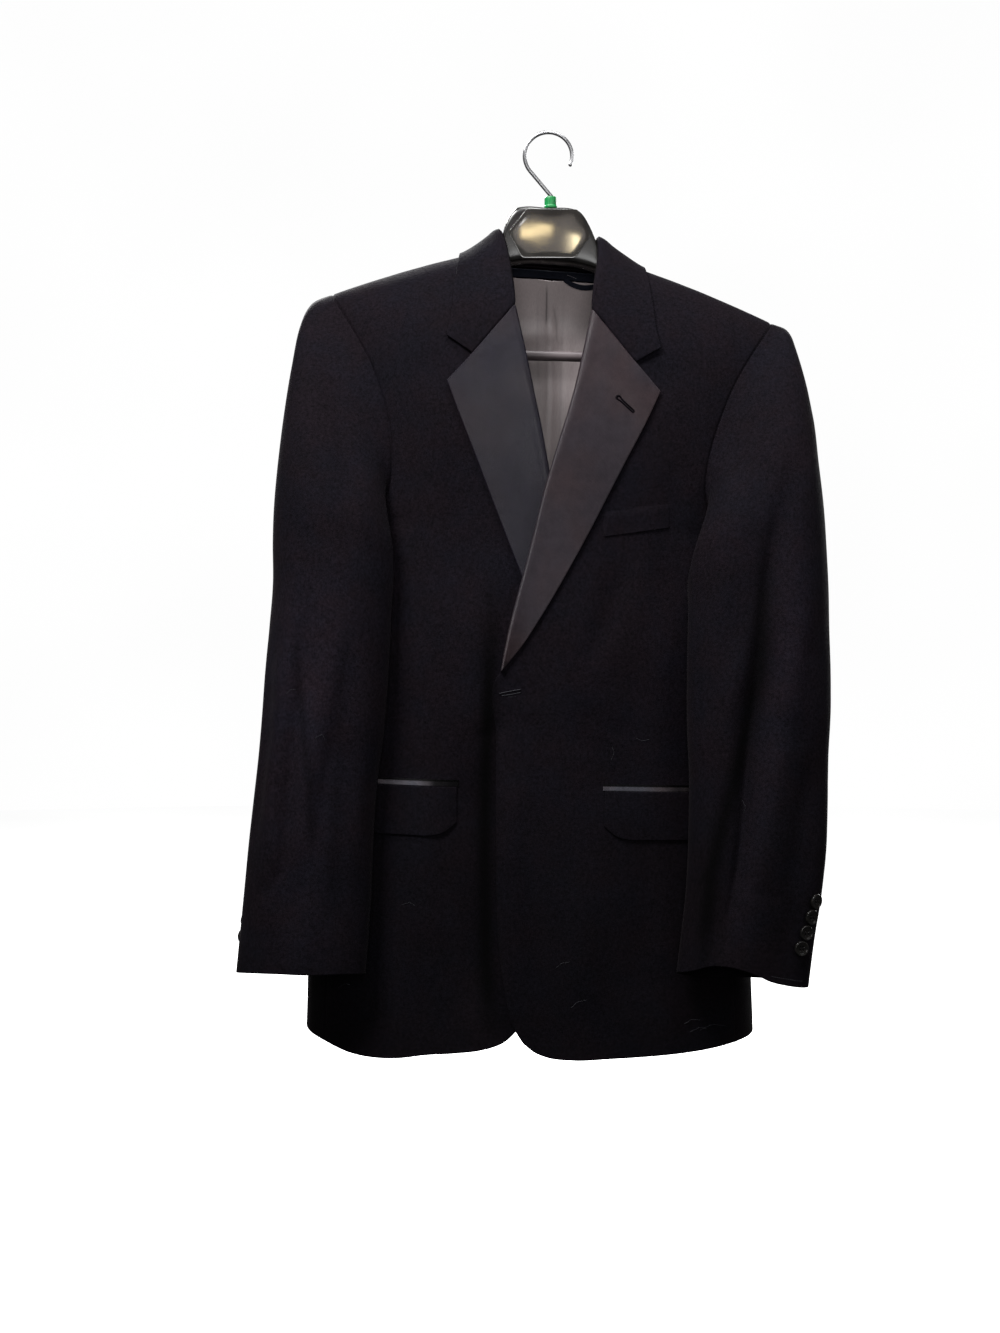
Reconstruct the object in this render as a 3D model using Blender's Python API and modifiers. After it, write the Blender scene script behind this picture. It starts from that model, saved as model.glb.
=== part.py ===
"""A one-button tuxedo jacket with notch lapels, hanging on a wide plastic hanger.

Lengths are in millimetres and become metres where a mesh is made. +X is the
wearer's left, -Y the front, +Z up, and the origin is the inside top of the hook.
Cloth is laid out on an upright, even body first, and hang() then tilts it and
lets it lean the way the real one hangs. Left and right are the wearer's.
"""

from collections import namedtuple
from math import acos, atan2, pi

import bmesh
import bpy
import numpy as np
from mathutils import Vector
from mathutils.bvhtree import BVHTree

MM = 0.001

# Driving dimensions
WALL = 2.0
SLEEVE_WALL = 1.6
LAPEL_WALL = 1.6
COLLAR_WALL = 1.8
LINING_WALL = 1.0
SEAM = 0.3
RIDGE_GAP = 0.15
ROLL_REACH = 3.0
LAY = 1.5
COVER = 7.5
UNDERARM = -399.0
SEAM_FRONT = 64.0
SEAM_BACK = 112.0
SEAM_TOP = -402.0
HEM = -885.0

LEFT = 1
RIGHT = -1
SIDES = {"left": LEFT, "right": RIGHT}

# Body rings: height, half width, depth to the front and to the back of the ridge
Ring = namedtuple("Ring", "z half_width front back")
BODY = (
    Ring(-90, 262, 92, 72),
    Ring(-174, 250, 92, 72),
    Ring(-244, 236, 92, 72),
    Ring(-314, 222, 92, 73),
    Ring(-399, 212, 92, 74),
    Ring(-494, 214, 95, 74),
    Ring(-614, 207, 91, 71),
    Ring(-734, 214, 96, 78),
    Ring(-890, 219.5, 98, 82),
)
SQUARENESS = {LEFT: 2.5, RIGHT: 3.0}
CHEST_ROUND = 3.2

# Shoulder ridge: distance from the middle, height, how far forward
Ridge = namedtuple("Ridge", "x z y")
SHOULDER = (
    Ridge(0, -95, 0),
    Ridge(48, -113, 0),
    Ridge(70, -123.5, 0),
    Ridge(90, -128.8, -0.4),
    Ridge(118, -137.4, -1.5),
    Ridge(146, -147.0, -3.3),
    Ridge(172, -156.8, -5.3),
    Ridge(194, -165.4, -7.0),
    Ridge(214, -173.4, -8.2),
    Ridge(262, -194, -9.5),
)

# How the jacket hangs: sideways lean and tilt in degrees at each height
Pose = namedtuple("Pose", "z lean tilt")
HANG = (
    Pose(0, -2, 2.3),
    Pose(-80, -1.0, 2.6),
    Pose(-100, 0.5, 4.4),
    Pose(-122, 3.2, 4.4),
    Pose(-140, 3.2, 4.0),
    Pose(-180, 3, 3.7),
    Pose(-254, 3, 3.0),
    Pose(-370, -3, 2.5),
    Pose(-634, -19, 1.6),
    Pose(-874, -18.3, 0.6),
    Pose(-900, -18.3, 0.4),
)

# Lapel fold, which is the front's cut edge above the button
Fold = namedtuple("Fold", "x z")
ROLL = (
    Fold(34.8, -187),
    Fold(29.8, -210),
    Fold(23.5, -242),
    Fold(14, -284),
    Fold(0, -340),
    Fold(-7.5, -378),
    Fold(-16, -425),
    Fold(-25, -472),
    Fold(-34, -527),
)
LAPEL_EDGE = (
    Fold(-29.5, -525),
    Fold(-25, -519),
    Fold(-13, -502),
    Fold(7, -466),
    Fold(27, -425),
    Fold(48, -379),
    Fold(67, -336),
    Fold(84, -299),
    Fold(92, -279),
    Fold(100, -260),
)
NOTCH = (76.5, -234.0)
LAPEL_TIP = (100.0, -260.0)
COLLAR_TIP = (101.0, -218.0)
NECK_POINT = (70.0, -123.5)

# Front edges below the button, down to the middle of the rounded corner, then the hem
EDGE = {
    LEFT: (Fold(-36, -534), Fold(-33, -611), Fold(-31, -676), Fold(-31, -740),
           Fold(-28, -796), Fold(-22, -837), Fold(-15, -862), Fold(-8, -872)),
    RIGHT: (Fold(-31, -534), Fold(-28, -611), Fold(-26, -676), Fold(-22, -740),
            Fold(-12, -796), Fold(1, -840), Fold(12, -861), Fold(22, -871)),
}
CORNER = {
    LEFT: (Fold(-8, -872), Fold(3, -881), Fold(18, -886.5), Fold(41, -888.5)),
    RIGHT: (Fold(22, -871), Fold(32, -877), Fold(56, -883), Fold(100, -887)),
}

# Height of the hem round the body, by angle
Hem = namedtuple("Hem", "angle z")
HEMS = {
    LEFT: (Hem(20, -889), Hem(34, -887), Hem(48, -884.5), Hem(64, -881), Hem(90, -877.5),
           Hem(112, -880), Hem(150, -885), Hem(180, -885)),
    RIGHT: (Hem(20, -888), Hem(34, -890.5), Hem(45, -892), Hem(64, -883), Hem(90, -877.5),
            Hem(112, -880), Hem(150, -885), Hem(180, -885)),
}

# Armhole edges from the shoulder down to the side seams
ARM_FRONT = (
    Fold(214, -173.4),
    Fold(206, -189),
    Fold(195.5, -205.5),
    Fold(174, -243),
    Fold(158, -285),
    Fold(149, -325),
    Fold(149, -358),
    Fold(162, -386),
    Fold(190.5, SEAM_TOP),
)
ARM_BACK = (
    Fold(214, -173.4),
    Fold(206, -190),
    Fold(198, -208),
    Fold(185, -246),
    Fold(177, -295),
    Fold(177, -340),
    Fold(185, -378),
    Fold(196.5, SEAM_TOP),
)
ARM_LOW = 7.0
ARM_FRONT_STEPS = [0, 0.015, 0.05, 0.12, 0.21, 0.31, 0.42, 0.53, 0.64, 0.76, 0.88, 1]
ARM_BACK_STEPS = [0, 0.015, 0.05, 0.13, 0.25, 0.38, 0.52, 0.67, 0.83, 1]
SEAM_ANGLE = 0.05
SEAM_STEPS = np.linspace(0, 1, 14)
FOLD_STEPS = np.append(np.linspace(0, 0.36, 5), np.linspace(0.36, 1, 6)[1:])
SIDE_ANGLES = np.array([SEAM_FRONT, 76.0, 88.0, 100.0, SEAM_BACK])

# Sleeve rings: height, middle, half width, depth of the middle, half depth
Tube = namedtuple("Tube", "z middle half_width y half_depth")
SLEEVE = {
    RIGHT: (Tube(-405, 202, 60, -70, 56), Tube(-461, 203.5, 58.5, -77, 52),
            Tube(-536, 209, 59, -83, 47), Tube(-592, 213.8, 57.8, -86, 43),
            Tube(-639, 219.5, 56.8, -89, 40), Tube(-677, 222.5, 57.8, -92, 38),
            Tube(-742, 226.8, 59.5, -95, 33), Tube(-812, 232.5, 60.5, -98, 29)),
    LEFT: (Tube(-405, 193, 65, -72, 56), Tube(-461, 193, 67, -78, 52),
           Tube(-555, 194, 67.7, -84, 46), Tube(-630, 193.8, 64.7, -88, 41),
           Tube(-677, 192.8, 64.7, -92, 38), Tube(-723, 189.7, 63.7, -95, 35),
           Tube(-770, 183.5, 62.5, -97, 31), Tube(-826, 176.5, 62.5, -98, 29)),
}
Cuff = namedtuple("Cuff", "angle z")
CUFF = {
    LEFT: (Cuff(-60, -818), Cuff(10, -820.5), Cuff(50, -817), Cuff(72, -812), Cuff(94, -801.5),
           Cuff(116, -798), Cuff(145, -804), Cuff(180, -808), Cuff(240, -816), Cuff(300, -818)),
    RIGHT: (Cuff(-60, -811), Cuff(0, -807.5), Cuff(60, -805), Cuff(90, -806), Cuff(130, -806),
            Cuff(180, -809), Cuff(240, -811), Cuff(300, -811)),
}

# How much fuller the outside of the upper sleeve hangs, by height
Full = namedtuple("Full", "z out")
FULLNESS = {
    LEFT: (Full(-180, 0), Full(-190, -2), Full(-205, -4), Full(-240, -5.5), Full(-270, -5),
           Full(-305, -3), Full(-345, -1.5), Full(-385, 1), Full(-430, 1.5), Full(-480, 0)),
    RIGHT: (Full(-170, 0), Full(-185, -2), Full(-200, -1), Full(-225, 0.5), Full(-260, 2.5),
            Full(-300, 4), Full(-345, 3), Full(-385, 1), Full(-425, -1), Full(-480, 0)),
}

# Sleeve cap: how far it runs on from the shoulder, stands up from the ring and leans in
Cap = namedtuple("Cap", "on up lean")
CROWN = {LEFT: Cap(0.10, 0.93, 0.12), RIGHT: Cap(0.15, 0.92, 0.06)}
UNDER = Cap(0.17, 0.27, 0.0)
SLEEVE_CLEAR = 3.6

# Sleeve seams: height, angle of the front and the back seam round the ring
Seam = namedtuple("Seam", "z front back")
SLEEVE_SEAMS = {
    LEFT: (Seam(-405, 185, -43), Seam(-555, 190, -25), Seam(-677, 192, -4), Seam(-826, 190, 16)),
    RIGHT: (Seam(-405, 185, -43), Seam(-555, 187, -48), Seam(-677, 184, -50),
            Seam(-826, 180, -50)),
}

# Where each part of the armhole meets the sleeve's first ring, both as angles
Turn = namedtuple("Turn", "cap ring")
TURNS = (Turn(-230, -195), Turn(-180, -130), Turn(-90, -75), Turn(0, 0), Turn(90, 90),
         Turn(130, 165), Turn(180, 230))
RING_TOP = -405.0
RING_DIP = 38.0
CAP_FRONT = 170 * 0.88
CAP_BACK = -160 * 0.38

# Soft folds of the sleeves: angle and height at the top and bottom, spread, depth
Crease = namedtuple("Crease", "top_angle top_z low_angle low_z spread depth")
CREASES = {
    LEFT: (Crease(78, -330, 122, -800, 15, 8), Crease(50, -600, 60, -790, 14, 3)),
    RIGHT: (Crease(95, -250, 80, -390, 15, 3), Crease(118, -560, 126, -790, 13, 4),
            Crease(72, -600, 76, -790, 13, 3)),
}

# Collar stations from the gorge to the middle of the back
Stand = namedtuple("Stand", "base_x base_z crest_x crest_y crest_z edge_x edge_z face upright")
COLLAR = (
    Stand(44, -170, 38, -71, -170, 97, -201, "front", 0.35),
    Stand(52, -153, 41, -59, -149, 95, -182, "front", 0.65),
    Stand(61, -137.5, 44.5, -42, -127, 93, -163, "front", 0.85),
    Stand(67, -128, 47.2, -24, -108.5, 91, -146, "front", 0.97),
    Stand(69.3, -124.8, 48.5, -14, -101, 90, -134, "front", 1.0),
    Stand(70, -123.5, 49, -5, -98, 89.5, -128.6, "ridge", 1.0),
    Stand(68.6, -124.0, 49, 3, -98, 89, -133, "back", 1.0),
    Stand(64, -125, 47.5, 11, -98.5, 86, -141, "back", 1.0),
    Stand(52, -125.5, 43.5, 24, -99.5, 76, -147, "back", 1.0),
    Stand(37, -125.5, 34, 34, -101, 57, -150, "back", 1.0),
    Stand(19, -124.5, 18, 40, -102, 30, -151, "back", 1.0),
    Stand(0, -124, 0, 42, -102.5, 0, -151, "back", 1.0),
)
NECK_FRONT = [(row.base_x, row.base_z) for row in COLLAR if row.face != "back"]
NECK_BACK = [(row.base_x, row.base_z) for row in COLLAR if row.face == "back"]

# Pockets, in distance from the middle and height
FLAP = {"inner": 69.0, "outer_angle": 61.0, "top": -638.2, "low": -684.0, "corner": 13.0}
JET_HEIGHT = 6.2
WELT = {"inner": 52.0, "outer": 117.0, "inner_top": -376.0, "rise": 13.0, "height": 25.0}

# Buttons: diameter, thickness
FRONT_BUTTON = {"radius": 10.0, "thick": 4.0, "x": 8.0, "z": -548.0}
SLEEVE_BUTTON = {"radius": 7.1, "thick": 3.6, "pitch": 14.2, "turn": -4.0}
LOWEST_BUTTON = {LEFT: (44.0, -782.0), RIGHT: (-20.0, -776.0)}
BUTTON_COUNT = 4

# Hanger: distance from the middle, top, bottom, half depth
Arm = namedtuple("Arm", "x top low half_depth")
HANGER = (
    Arm(0, -74, -127, 13),
    Arm(24, -74, -128, 13),
    Arm(30, -75.5, -129, 13),
    Arm(35, -80, -130, 13),
    Arm(39, -86.5, -131, 13),
    Arm(42.5, -94, -132, 13),
    Arm(46.5, -106, -134, 13),
    Arm(52, -121, -142, 13),
    Arm(70, -128, -152, 14),
    Arm(100, -138.5, -163, 14),
    Arm(140, -151.5, -176, 15),
    Arm(172, -164.0, -188, 15),
    Arm(192, -173.0, -192, 13),
    Arm(200, -178.0, -190, 10),
)
BAR = {"z": -219.0, "radius": 5.0, "half_length": 160.0, "tilt": 1.6}
POST = {"x": 165.0, "width": 9.0, "depth": 11.0, "low": -227.0, "top": -172.0}
BUSHING = {"x": 2.2, "top": -61.7, "low": -73.6, "radius": 6.0, "rim": 0.8}
HOOK = {"wire": 1.9, "radius": 23.3, "end_angle": -22.0}

Look = namedtuple("Look", "colour roughness metallic")
LOOKS = {
    "wool": Look((0.007, 0.006, 0.009), 0.9, 0.0),
    "satin": Look((0.032, 0.032, 0.040), 0.45, 0.0),
    "lining": Look((0.165, 0.140, 0.138), 0.5, 0.0),
    "ribbon": Look((0.010, 0.012, 0.022), 0.6, 0.0),
    "button": Look((0.010, 0.010, 0.010), 0.25, 0.0),
    "black_gloss": Look((0.008, 0.007, 0.006), 0.08, 0.0),
    "green_plastic": Look((0.000, 0.223, 0.045), 0.4, 0.0),
    "steel_wire": Look((0.300, 0.300, 0.310), 0.3, 1.0),
}


# Interpolation

def between(rows, name, at, key="z"):
    """A column of a table at any height, joined smoothly from row to row."""
    rows = sorted(rows, key=lambda row: getattr(row, key))
    xs = np.array([getattr(row, key) for row in rows], float)
    ys = np.array([getattr(row, name) for row in rows], float)
    slopes = np.gradient(ys, xs)
    at = np.clip(np.asarray(at, float), xs[0], xs[-1])
    i = np.clip(np.searchsorted(xs, at, side="right") - 1, 0, len(xs) - 2)
    span = xs[i + 1] - xs[i]
    t = (at - xs[i]) / span
    rise = ys[i] * (1 - t) ** 2 * (1 + 2 * t) + ys[i + 1] * t**2 * (3 - 2 * t)
    return rise + span * (slopes[i] * t * (1 - t) ** 2 - slopes[i + 1] * t**2 * (1 - t))


def smoothstep(low, high, value):
    t = np.clip((np.asarray(value, float) - low) / (high - low), 0, 1)
    return t * t * (3 - 2 * t)


def unit(v):
    v = np.asarray(v, float)
    return v / np.maximum(np.linalg.norm(v, axis=-1, keepdims=True), 1e-9)


def trace(points, fractions):
    """Points along a smooth curve through the given ones, at fractions of its length."""
    p = np.array([tuple(q) for q in points], float)
    ends = np.vstack([2 * p[0] - p[1], p, 2 * p[-1] - p[-2]])
    fine = []
    for i in range(1, len(ends) - 2):
        a, b, c, d = ends[i - 1 : i + 3]
        for t in np.linspace(0, 1, 12, endpoint=False):
            fine.append(0.5 * (2 * b + (c - a) * t + (2 * a - 5 * b + 4 * c - d) * t * t
                               + (3 * b - a - 3 * c + d) * t**3))
    fine = np.array(fine + [p[-1]])
    run = np.concatenate([[0], np.cumsum(np.linalg.norm(np.diff(fine, axis=0), axis=1))])
    run /= run[-1]
    return np.column_stack([np.interp(fractions, run, fine[:, k]) for k in range(p.shape[1])])


def patch(bottom, top, left, right):
    """A grid between four edges; rows run from bottom to top, columns from left to right."""
    rows, columns = len(left), len(bottom)
    u = np.linspace(0, 1, columns)
    if columns > 2:
        run = np.concatenate([[0], np.cumsum(np.linalg.norm(np.diff(bottom, axis=0), axis=1))])
        u = 0.5 * (run / run[-1]) + 0.5 * u
    v = np.linspace(0, 1, rows)
    u, v = u[None, :, None], v[:, None, None]
    sides = (1 - u) * left[:, None] + u * right[:, None]
    ends = (1 - v) * bottom[None] + v * top[None]
    corners = ((1 - u) * (1 - v) * bottom[0] + u * (1 - v) * bottom[-1]
               + (1 - u) * v * top[0] + u * v * top[-1])
    return sides + ends - corners


# The way the jacket hangs

def hang(points):
    p = np.asarray(points, float)
    lean = between(HANG, "lean", p[..., 2])
    tilt = np.tan(np.radians(between(HANG, "tilt", p[..., 2])))
    return np.stack([p[..., 0] + lean, p[..., 1], p[..., 2] - p[..., 0] * tilt], axis=-1)


def unhang(points):
    p = np.asarray(points, float)
    guess = p.copy()
    for _ in range(8):
        guess = guess + p - hang(guess)
    return guess


# The body that the cloth is laid out on

def angle_at(x, z, face="front"):
    angle = np.degrees(np.arcsin(np.clip(np.asarray(x) / between(BODY, "half_width", z), -1, 1)))
    return angle if face == "front" else 180 - angle


def ridge_height(x):
    return np.interp(np.abs(x), [p.x for p in SHOULDER], [p.z for p in SHOULDER])


def ridge_depth(x):
    return np.interp(np.abs(x), [p.x for p in SHOULDER], [p.y for p in SHOULDER])


def body(angle, z):
    """A point of the body: 0 degrees is the front middle, 90 the wearer's left, 180 the back."""
    angle, z = np.broadcast_arrays(np.asarray(angle, float), np.asarray(z, float))
    turn = np.radians(angle)
    x = between(BODY, "half_width", z) * np.sin(turn)
    front = np.cos(turn) >= 0
    square = np.where(front & (x < 0), SQUARENESS[RIGHT], SQUARENESS[LEFT])
    shape = np.sqrt(np.maximum(1 - np.abs(np.sin(turn)) ** square, 0))
    climb = np.clip((z - UNDERARM) / (ridge_height(x) - UNDERARM), 0, 1)
    lean_in = np.sqrt(np.maximum(1 - climb**CHEST_ROUND, 0))
    depth = np.where(front, between(BODY, "front", z), between(BODY, "back", z))
    out = depth * shape * lean_in
    out = np.maximum(out, np.where(climb > 0.9, RIDGE_GAP, 0.0))
    y = ridge_depth(x) * climb**2 + np.where(front, -1, 1) * out
    return np.stack([x, y, z], axis=-1)


def body_normal(angle, z):
    angle, z = np.broadcast_arrays(np.asarray(angle, float), np.asarray(z, float))
    around = body(angle + 0.2, z) - body(angle - 0.2, z)
    x = body(angle, z)[..., 0]
    top = ridge_height(x)
    z_in = np.minimum(z, top - 1.5)
    along = body(angle, z_in + 0.5) - body(angle, z_in - 0.5)
    normal = unit(np.cross(around, along))
    slope = (ridge_height(x + 1) - ridge_height(x - 1)) / 2
    up = unit(np.stack([-slope, np.zeros_like(x), np.ones_like(x)], axis=-1))
    near = smoothstep(3.0, 0.0, top - z)[..., None]
    return unit(normal * (1 - near) + up * near)


def lift(side, x, z):
    """How far a front stands off the body. x is counted toward its own side."""
    x, z = np.broadcast_arrays(np.asarray(x, float), np.asarray(z, float))
    if side == LEFT:
        under = np.where(z > -531, -between(ROLL, "x", z), 28.0)
        over = COVER * smoothstep(70, 8, x - under) * smoothstep(-225, -335, z)
        free = 6.0 * smoothstep(20, -32, x) * smoothstep(-560, -680, z)
        return over + free
    hollow = -7.0 * np.exp(-(((x - 58) / 26.0) ** 2)) * smoothstep(-560, -680, z)
    return hollow * smoothstep(-900, -800, z)


def front(side, angle, z):
    """A point of a front panel's outside. The angle is counted toward its own side."""
    p = body(side * np.asarray(angle), z)
    n = body_normal(side * np.asarray(angle), z)
    return p + n * lift(side, side * p[..., 0], z)[..., None], n


def front_at(side, x, z):
    return front(side, angle_at(x, z), z)


# Solids

collection = None
materials = {}


def make_material(name):
    look = LOOKS[name]
    material = bpy.data.materials.new(name)
    material.use_nodes = True
    shader = material.node_tree.nodes["Principled BSDF"]
    shader.inputs["Base Color"].default_value = (*look.colour, 1.0)
    shader.inputs["Roughness"].default_value = look.roughness
    shader.inputs["Metallic"].default_value = look.metallic
    return material


def finish(obj, name, material):
    """Name the object, give it its own copy of the material and file it."""
    obj.name = name
    obj.data.name = name
    own = materials[material].copy()
    own.name = name + "_" + material
    obj.data.materials.clear()
    obj.data.materials.append(own)
    for holder in list(obj.users_collection):
        holder.objects.unlink(obj)
    collection.objects.link(obj)
    return obj


def sheet(name, outer, inner, material):
    """A wall between two grids of points, closed along its four edges."""
    rows, columns = outer.shape[:2]
    bm = bmesh.new()
    faces = []
    skins = []
    for grid in (outer, inner):
        skins.append([[bm.verts.new(p * MM) for p in row] for row in grid])
    for skin in skins:
        for i in range(rows - 1):
            for j in range(columns - 1):
                faces.append((skin[i][j], skin[i][j + 1], skin[i + 1][j + 1], skin[i + 1][j]))
    loop = [(0, j) for j in range(columns)]
    loop += [(i, columns - 1) for i in range(1, rows)]
    loop += [(rows - 1, j) for j in range(columns - 2, -1, -1)]
    loop += [(i, 0) for i in range(rows - 2, 0, -1)]
    for (i, j), (k, m) in zip(loop, loop[1:] + loop[:1]):
        faces.append((skins[0][i][j], skins[0][k][m], skins[1][k][m], skins[1][i][j]))
    for corners in faces:
        bm.faces.new(corners)
    bmesh.ops.recalc_face_normals(bm, faces=bm.faces)
    mesh = bpy.data.meshes.new(name)
    bm.to_mesh(mesh)
    bm.free()
    mesh.shade_smooth()
    mesh.set_sharp_from_angle(angle=np.radians(50))
    return finish(bpy.data.objects.new(name, mesh), name, material)


def hung_sheet(name, outer, normals, wall, material):
    sheet(name, hang(outer), hang(outer - normals * wall), material)


def grid_normals(grid):
    """Normals of a grid of points, from its own rows and columns."""
    along = np.gradient(grid, axis=0)
    across = np.gradient(grid, axis=1)
    return unit(np.cross(across, along))


# Panels

def to_domain(points, face="front"):
    points = np.asarray(points, float)
    return np.column_stack([angle_at(points[:, 0], points[:, 1], face), points[:, 1]])


def hem_height(side, angle):
    return between(HEMS[side], "z", angle, key="angle")


def underarm_height(angle):
    """Top edge of the side panels, which dips between its two seams."""
    share = (np.asarray(angle, float) - SEAM_FRONT) / (SEAM_BACK - SEAM_FRONT)
    return SEAM_TOP - ARM_LOW * np.sin(share * pi)


def seam_heights(side, angle):
    low = hem_height(side, angle)
    return low + (SEAM_TOP - low) * SEAM_STEPS


def ridge_line(fractions=None):
    """The shoulder seam from the neck to the sleeve, at its own corners or at fractions."""
    corners = np.array([p.x for p in SHOULDER if 70 <= p.x <= 214], float)
    x = corners if fractions is None else 70 + 144 * np.asarray(fractions, float)
    return np.column_stack([x, ridge_height(x)])


def build_front(name, side):
    fold = [(p.x + ROLL_REACH, p.z) for p in reversed(ROLL)]
    edge = [tuple(p) for p in reversed(EDGE[side])]
    left = np.vstack([trace(edge, [0, 0.05, 0.12, 0.22, 0.36, 0.52, 0.68, 0.84, 1]),
                      trace(fold, FOLD_STEPS),
                      np.array(NECK_FRONT)])
    left = to_domain(left)
    arm = to_domain(trace([tuple(p) for p in ARM_FRONT], ARM_FRONT_STEPS)[::-1])
    seam = np.column_stack([np.full(len(SEAM_STEPS), SEAM_FRONT),
                            seam_heights(side, SEAM_FRONT)])
    right = np.vstack([seam, arm[1:]])
    right[: len(seam), 0] -= SEAM_ANGLE
    corner = to_domain([tuple(p) for p in CORNER[side]])
    rest = [(a, hem_height(side, a)) for a in (32, 40, 48, 56, SEAM_FRONT - SEAM_ANGLE)]
    columns = [0, 0.05, 0.11, 0.19, 0.29, 0.41, 0.54, 0.67, 0.8, 0.9, 1]
    bottom = trace([tuple(p) for p in corner] + rest, columns)
    shares = (ridge_line()[:, 0] - 70) / 144
    shares = np.sort(np.concatenate([shares, (shares[:4] + shares[1:5]) / 2]))
    top = to_domain(ridge_line(shares))
    left[0], left[-1] = bottom[0], top[0]
    right[0], right[-1] = bottom[-1], top[-1]
    grid = patch(bottom, top, left, right)
    outer, normals = front(side, grid[..., 0], grid[..., 1])
    hung_sheet(name, outer, normals, WALL, "wool")


def build_side(name, side):
    angles = SIDE_ANGLES.copy()
    angles[0] += SEAM_ANGLE
    angles[-1] -= SEAM_ANGLE
    low = hem_height(side, angles)
    z = low + (underarm_height(SIDE_ANGLES)[None] - low) * SEAM_STEPS[:, None]
    z[:, 0] = seam_heights(side, SEAM_FRONT)
    z[:, -1] = seam_heights(side, SEAM_BACK)
    angle = np.broadcast_to(angles[None], z.shape)
    outer = body(side * angle, z)
    normals = body_normal(side * angle, z)
    hung_sheet(name, outer, normals, WALL, "wool")


def build_back(name, side):
    arm = to_domain(trace([tuple(p) for p in ARM_BACK], ARM_BACK_STEPS)[::-1], "back")
    seam = np.column_stack([np.full(len(SEAM_STEPS), SEAM_BACK), seam_heights(side, SEAM_BACK)])
    right = np.vstack([seam, arm[1:]])
    right[: len(seam), 0] += SEAM_ANGLE
    heights = np.concatenate([np.linspace(HEM, -150, len(right) - 4), [-140, -133, -127.5, -124]])
    middle = np.column_stack([np.full(len(right), 180 - SEAM_ANGLE), heights])
    top = to_domain(np.vstack([NECK_BACK[::-1], ridge_line()]), "back")
    bottom = np.linspace(middle[0, 0], right[0, 0], len(top))
    bottom = np.column_stack([bottom, hem_height(side, bottom)])
    right[0], right[-1] = bottom[-1], top[-1]
    top[0] = middle[-1]
    grid = patch(bottom, top, middle, right)
    outer = body(side * grid[..., 0], grid[..., 1])
    normals = body_normal(side * grid[..., 0], grid[..., 1])
    hung_sheet(name, outer, normals, WALL, "wool")


# Lapels and collar

def lay_height(share):
    """Height of a lapel's inside over the front, from the roll to the outer edge."""
    return 2 * LAY - LAY * share


def bend(start, away, normal, wall):
    """A half-round fold: the grid rows that turn a sheet back over its panel."""
    centre = start - away * (SEAM + 0.1) + normal * LAY
    turns = np.radians([-90, -45, 0, 45, 90])
    out = LAY + wall
    outside = [centre + out * (normal * np.sin(t) - away * np.cos(t)) for t in turns]
    inside = [centre + LAY * (normal * np.sin(t) - away * np.cos(t)) for t in turns]
    return outside, inside


def build_lapel(name, side):
    steps = FOLD_STEPS
    left = trace([(p.x + ROLL_REACH, p.z) for p in reversed(ROLL)], steps)
    right = trace([tuple(p) for p in LAPEL_EDGE], steps)
    gorge = np.array([(ROLL[0].x + ROLL_REACH, ROLL[0].z), NOTCH, LAPEL_TIP])
    run = np.concatenate([[0], np.cumsum(np.linalg.norm(np.diff(gorge, axis=0), axis=1))])
    run /= run[-1]
    shares = np.array([0, 0.1, 0.27, 0.46, run[1], 0.83, 1.0])
    top = np.column_stack([np.interp(shares, run, gorge[:, k]) for k in (0, 1)])
    top[:, 1] -= 0.6
    bottom = left[0] + (right[0] - left[0]) * shares[:, None]
    left[-1] = top[0]
    right[-1] = top[-1]
    grid = patch(to_domain(bottom), to_domain(top), to_domain(left), to_domain(right))
    flat, normals = front(side, grid[..., 0], grid[..., 1])
    away = unit(flat[:, 1] - flat[:, 0])
    outside, inside = bend(flat[:, 0], away, normals[:, 0], LAPEL_WALL)
    for j in range(1, len(shares)):
        height = lay_height(shares[j])
        inside.append(flat[:, j] + normals[:, j] * height)
        outside.append(flat[:, j] + normals[:, j] * (height + LAPEL_WALL))
    outer = np.stack(outside, axis=1)
    inner = np.stack(inside, axis=1)
    sheet(name, hang(outer), hang(inner), "satin")


def collar_surface(x, z, face, side):
    """A point and normal under the collar, mirrored to the wearer's left."""
    angle = side * angle_at(x, z, "back" if face == "back" else "front")
    mirror = np.array([side, 1.0, 1.0])
    return body(angle, z) * mirror, body_normal(angle, z) * mirror


def depth_outside(p, side):
    """Positive outside the body, negative inside it. x is counted toward its own side."""
    x, y, z = p[..., 0], p[..., 1], p[..., 2]
    climb = np.maximum((z - UNDERARM) / (ridge_height(x) - UNDERARM), 0)
    forward = y < ridge_depth(x)
    deep = np.where(forward, between(BODY, "front", z), between(BODY, "back", z))
    square = np.where(forward, SQUARENESS[side], SQUARENESS[LEFT])
    round_off = 1 - np.minimum(np.abs(x) / between(BODY, "half_width", z), 1) ** square
    middle = ridge_depth(x) * np.minimum(climb, 1) ** 2
    return ((y - middle) / deep) ** 2 - round_off * (1 - climb**CHEST_ROUND)


def stand_off(points, clear, side):
    """Move points out of the body until they are at least this clear of it."""
    p = np.array(points, float)
    for _ in range(12):
        level = depth_outside(p, side)
        slope = [depth_outside(p + step, side) - depth_outside(p - step, side)
                 for step in np.eye(3) * 0.2]
        slope = np.stack(slope, axis=-1) / 0.4
        steep = np.linalg.norm(slope, axis=-1)
        short = np.clip(clear - level / steep, 0, 3.0)
        p = p + slope / steep[..., None] * short[..., None]
    return p


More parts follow.
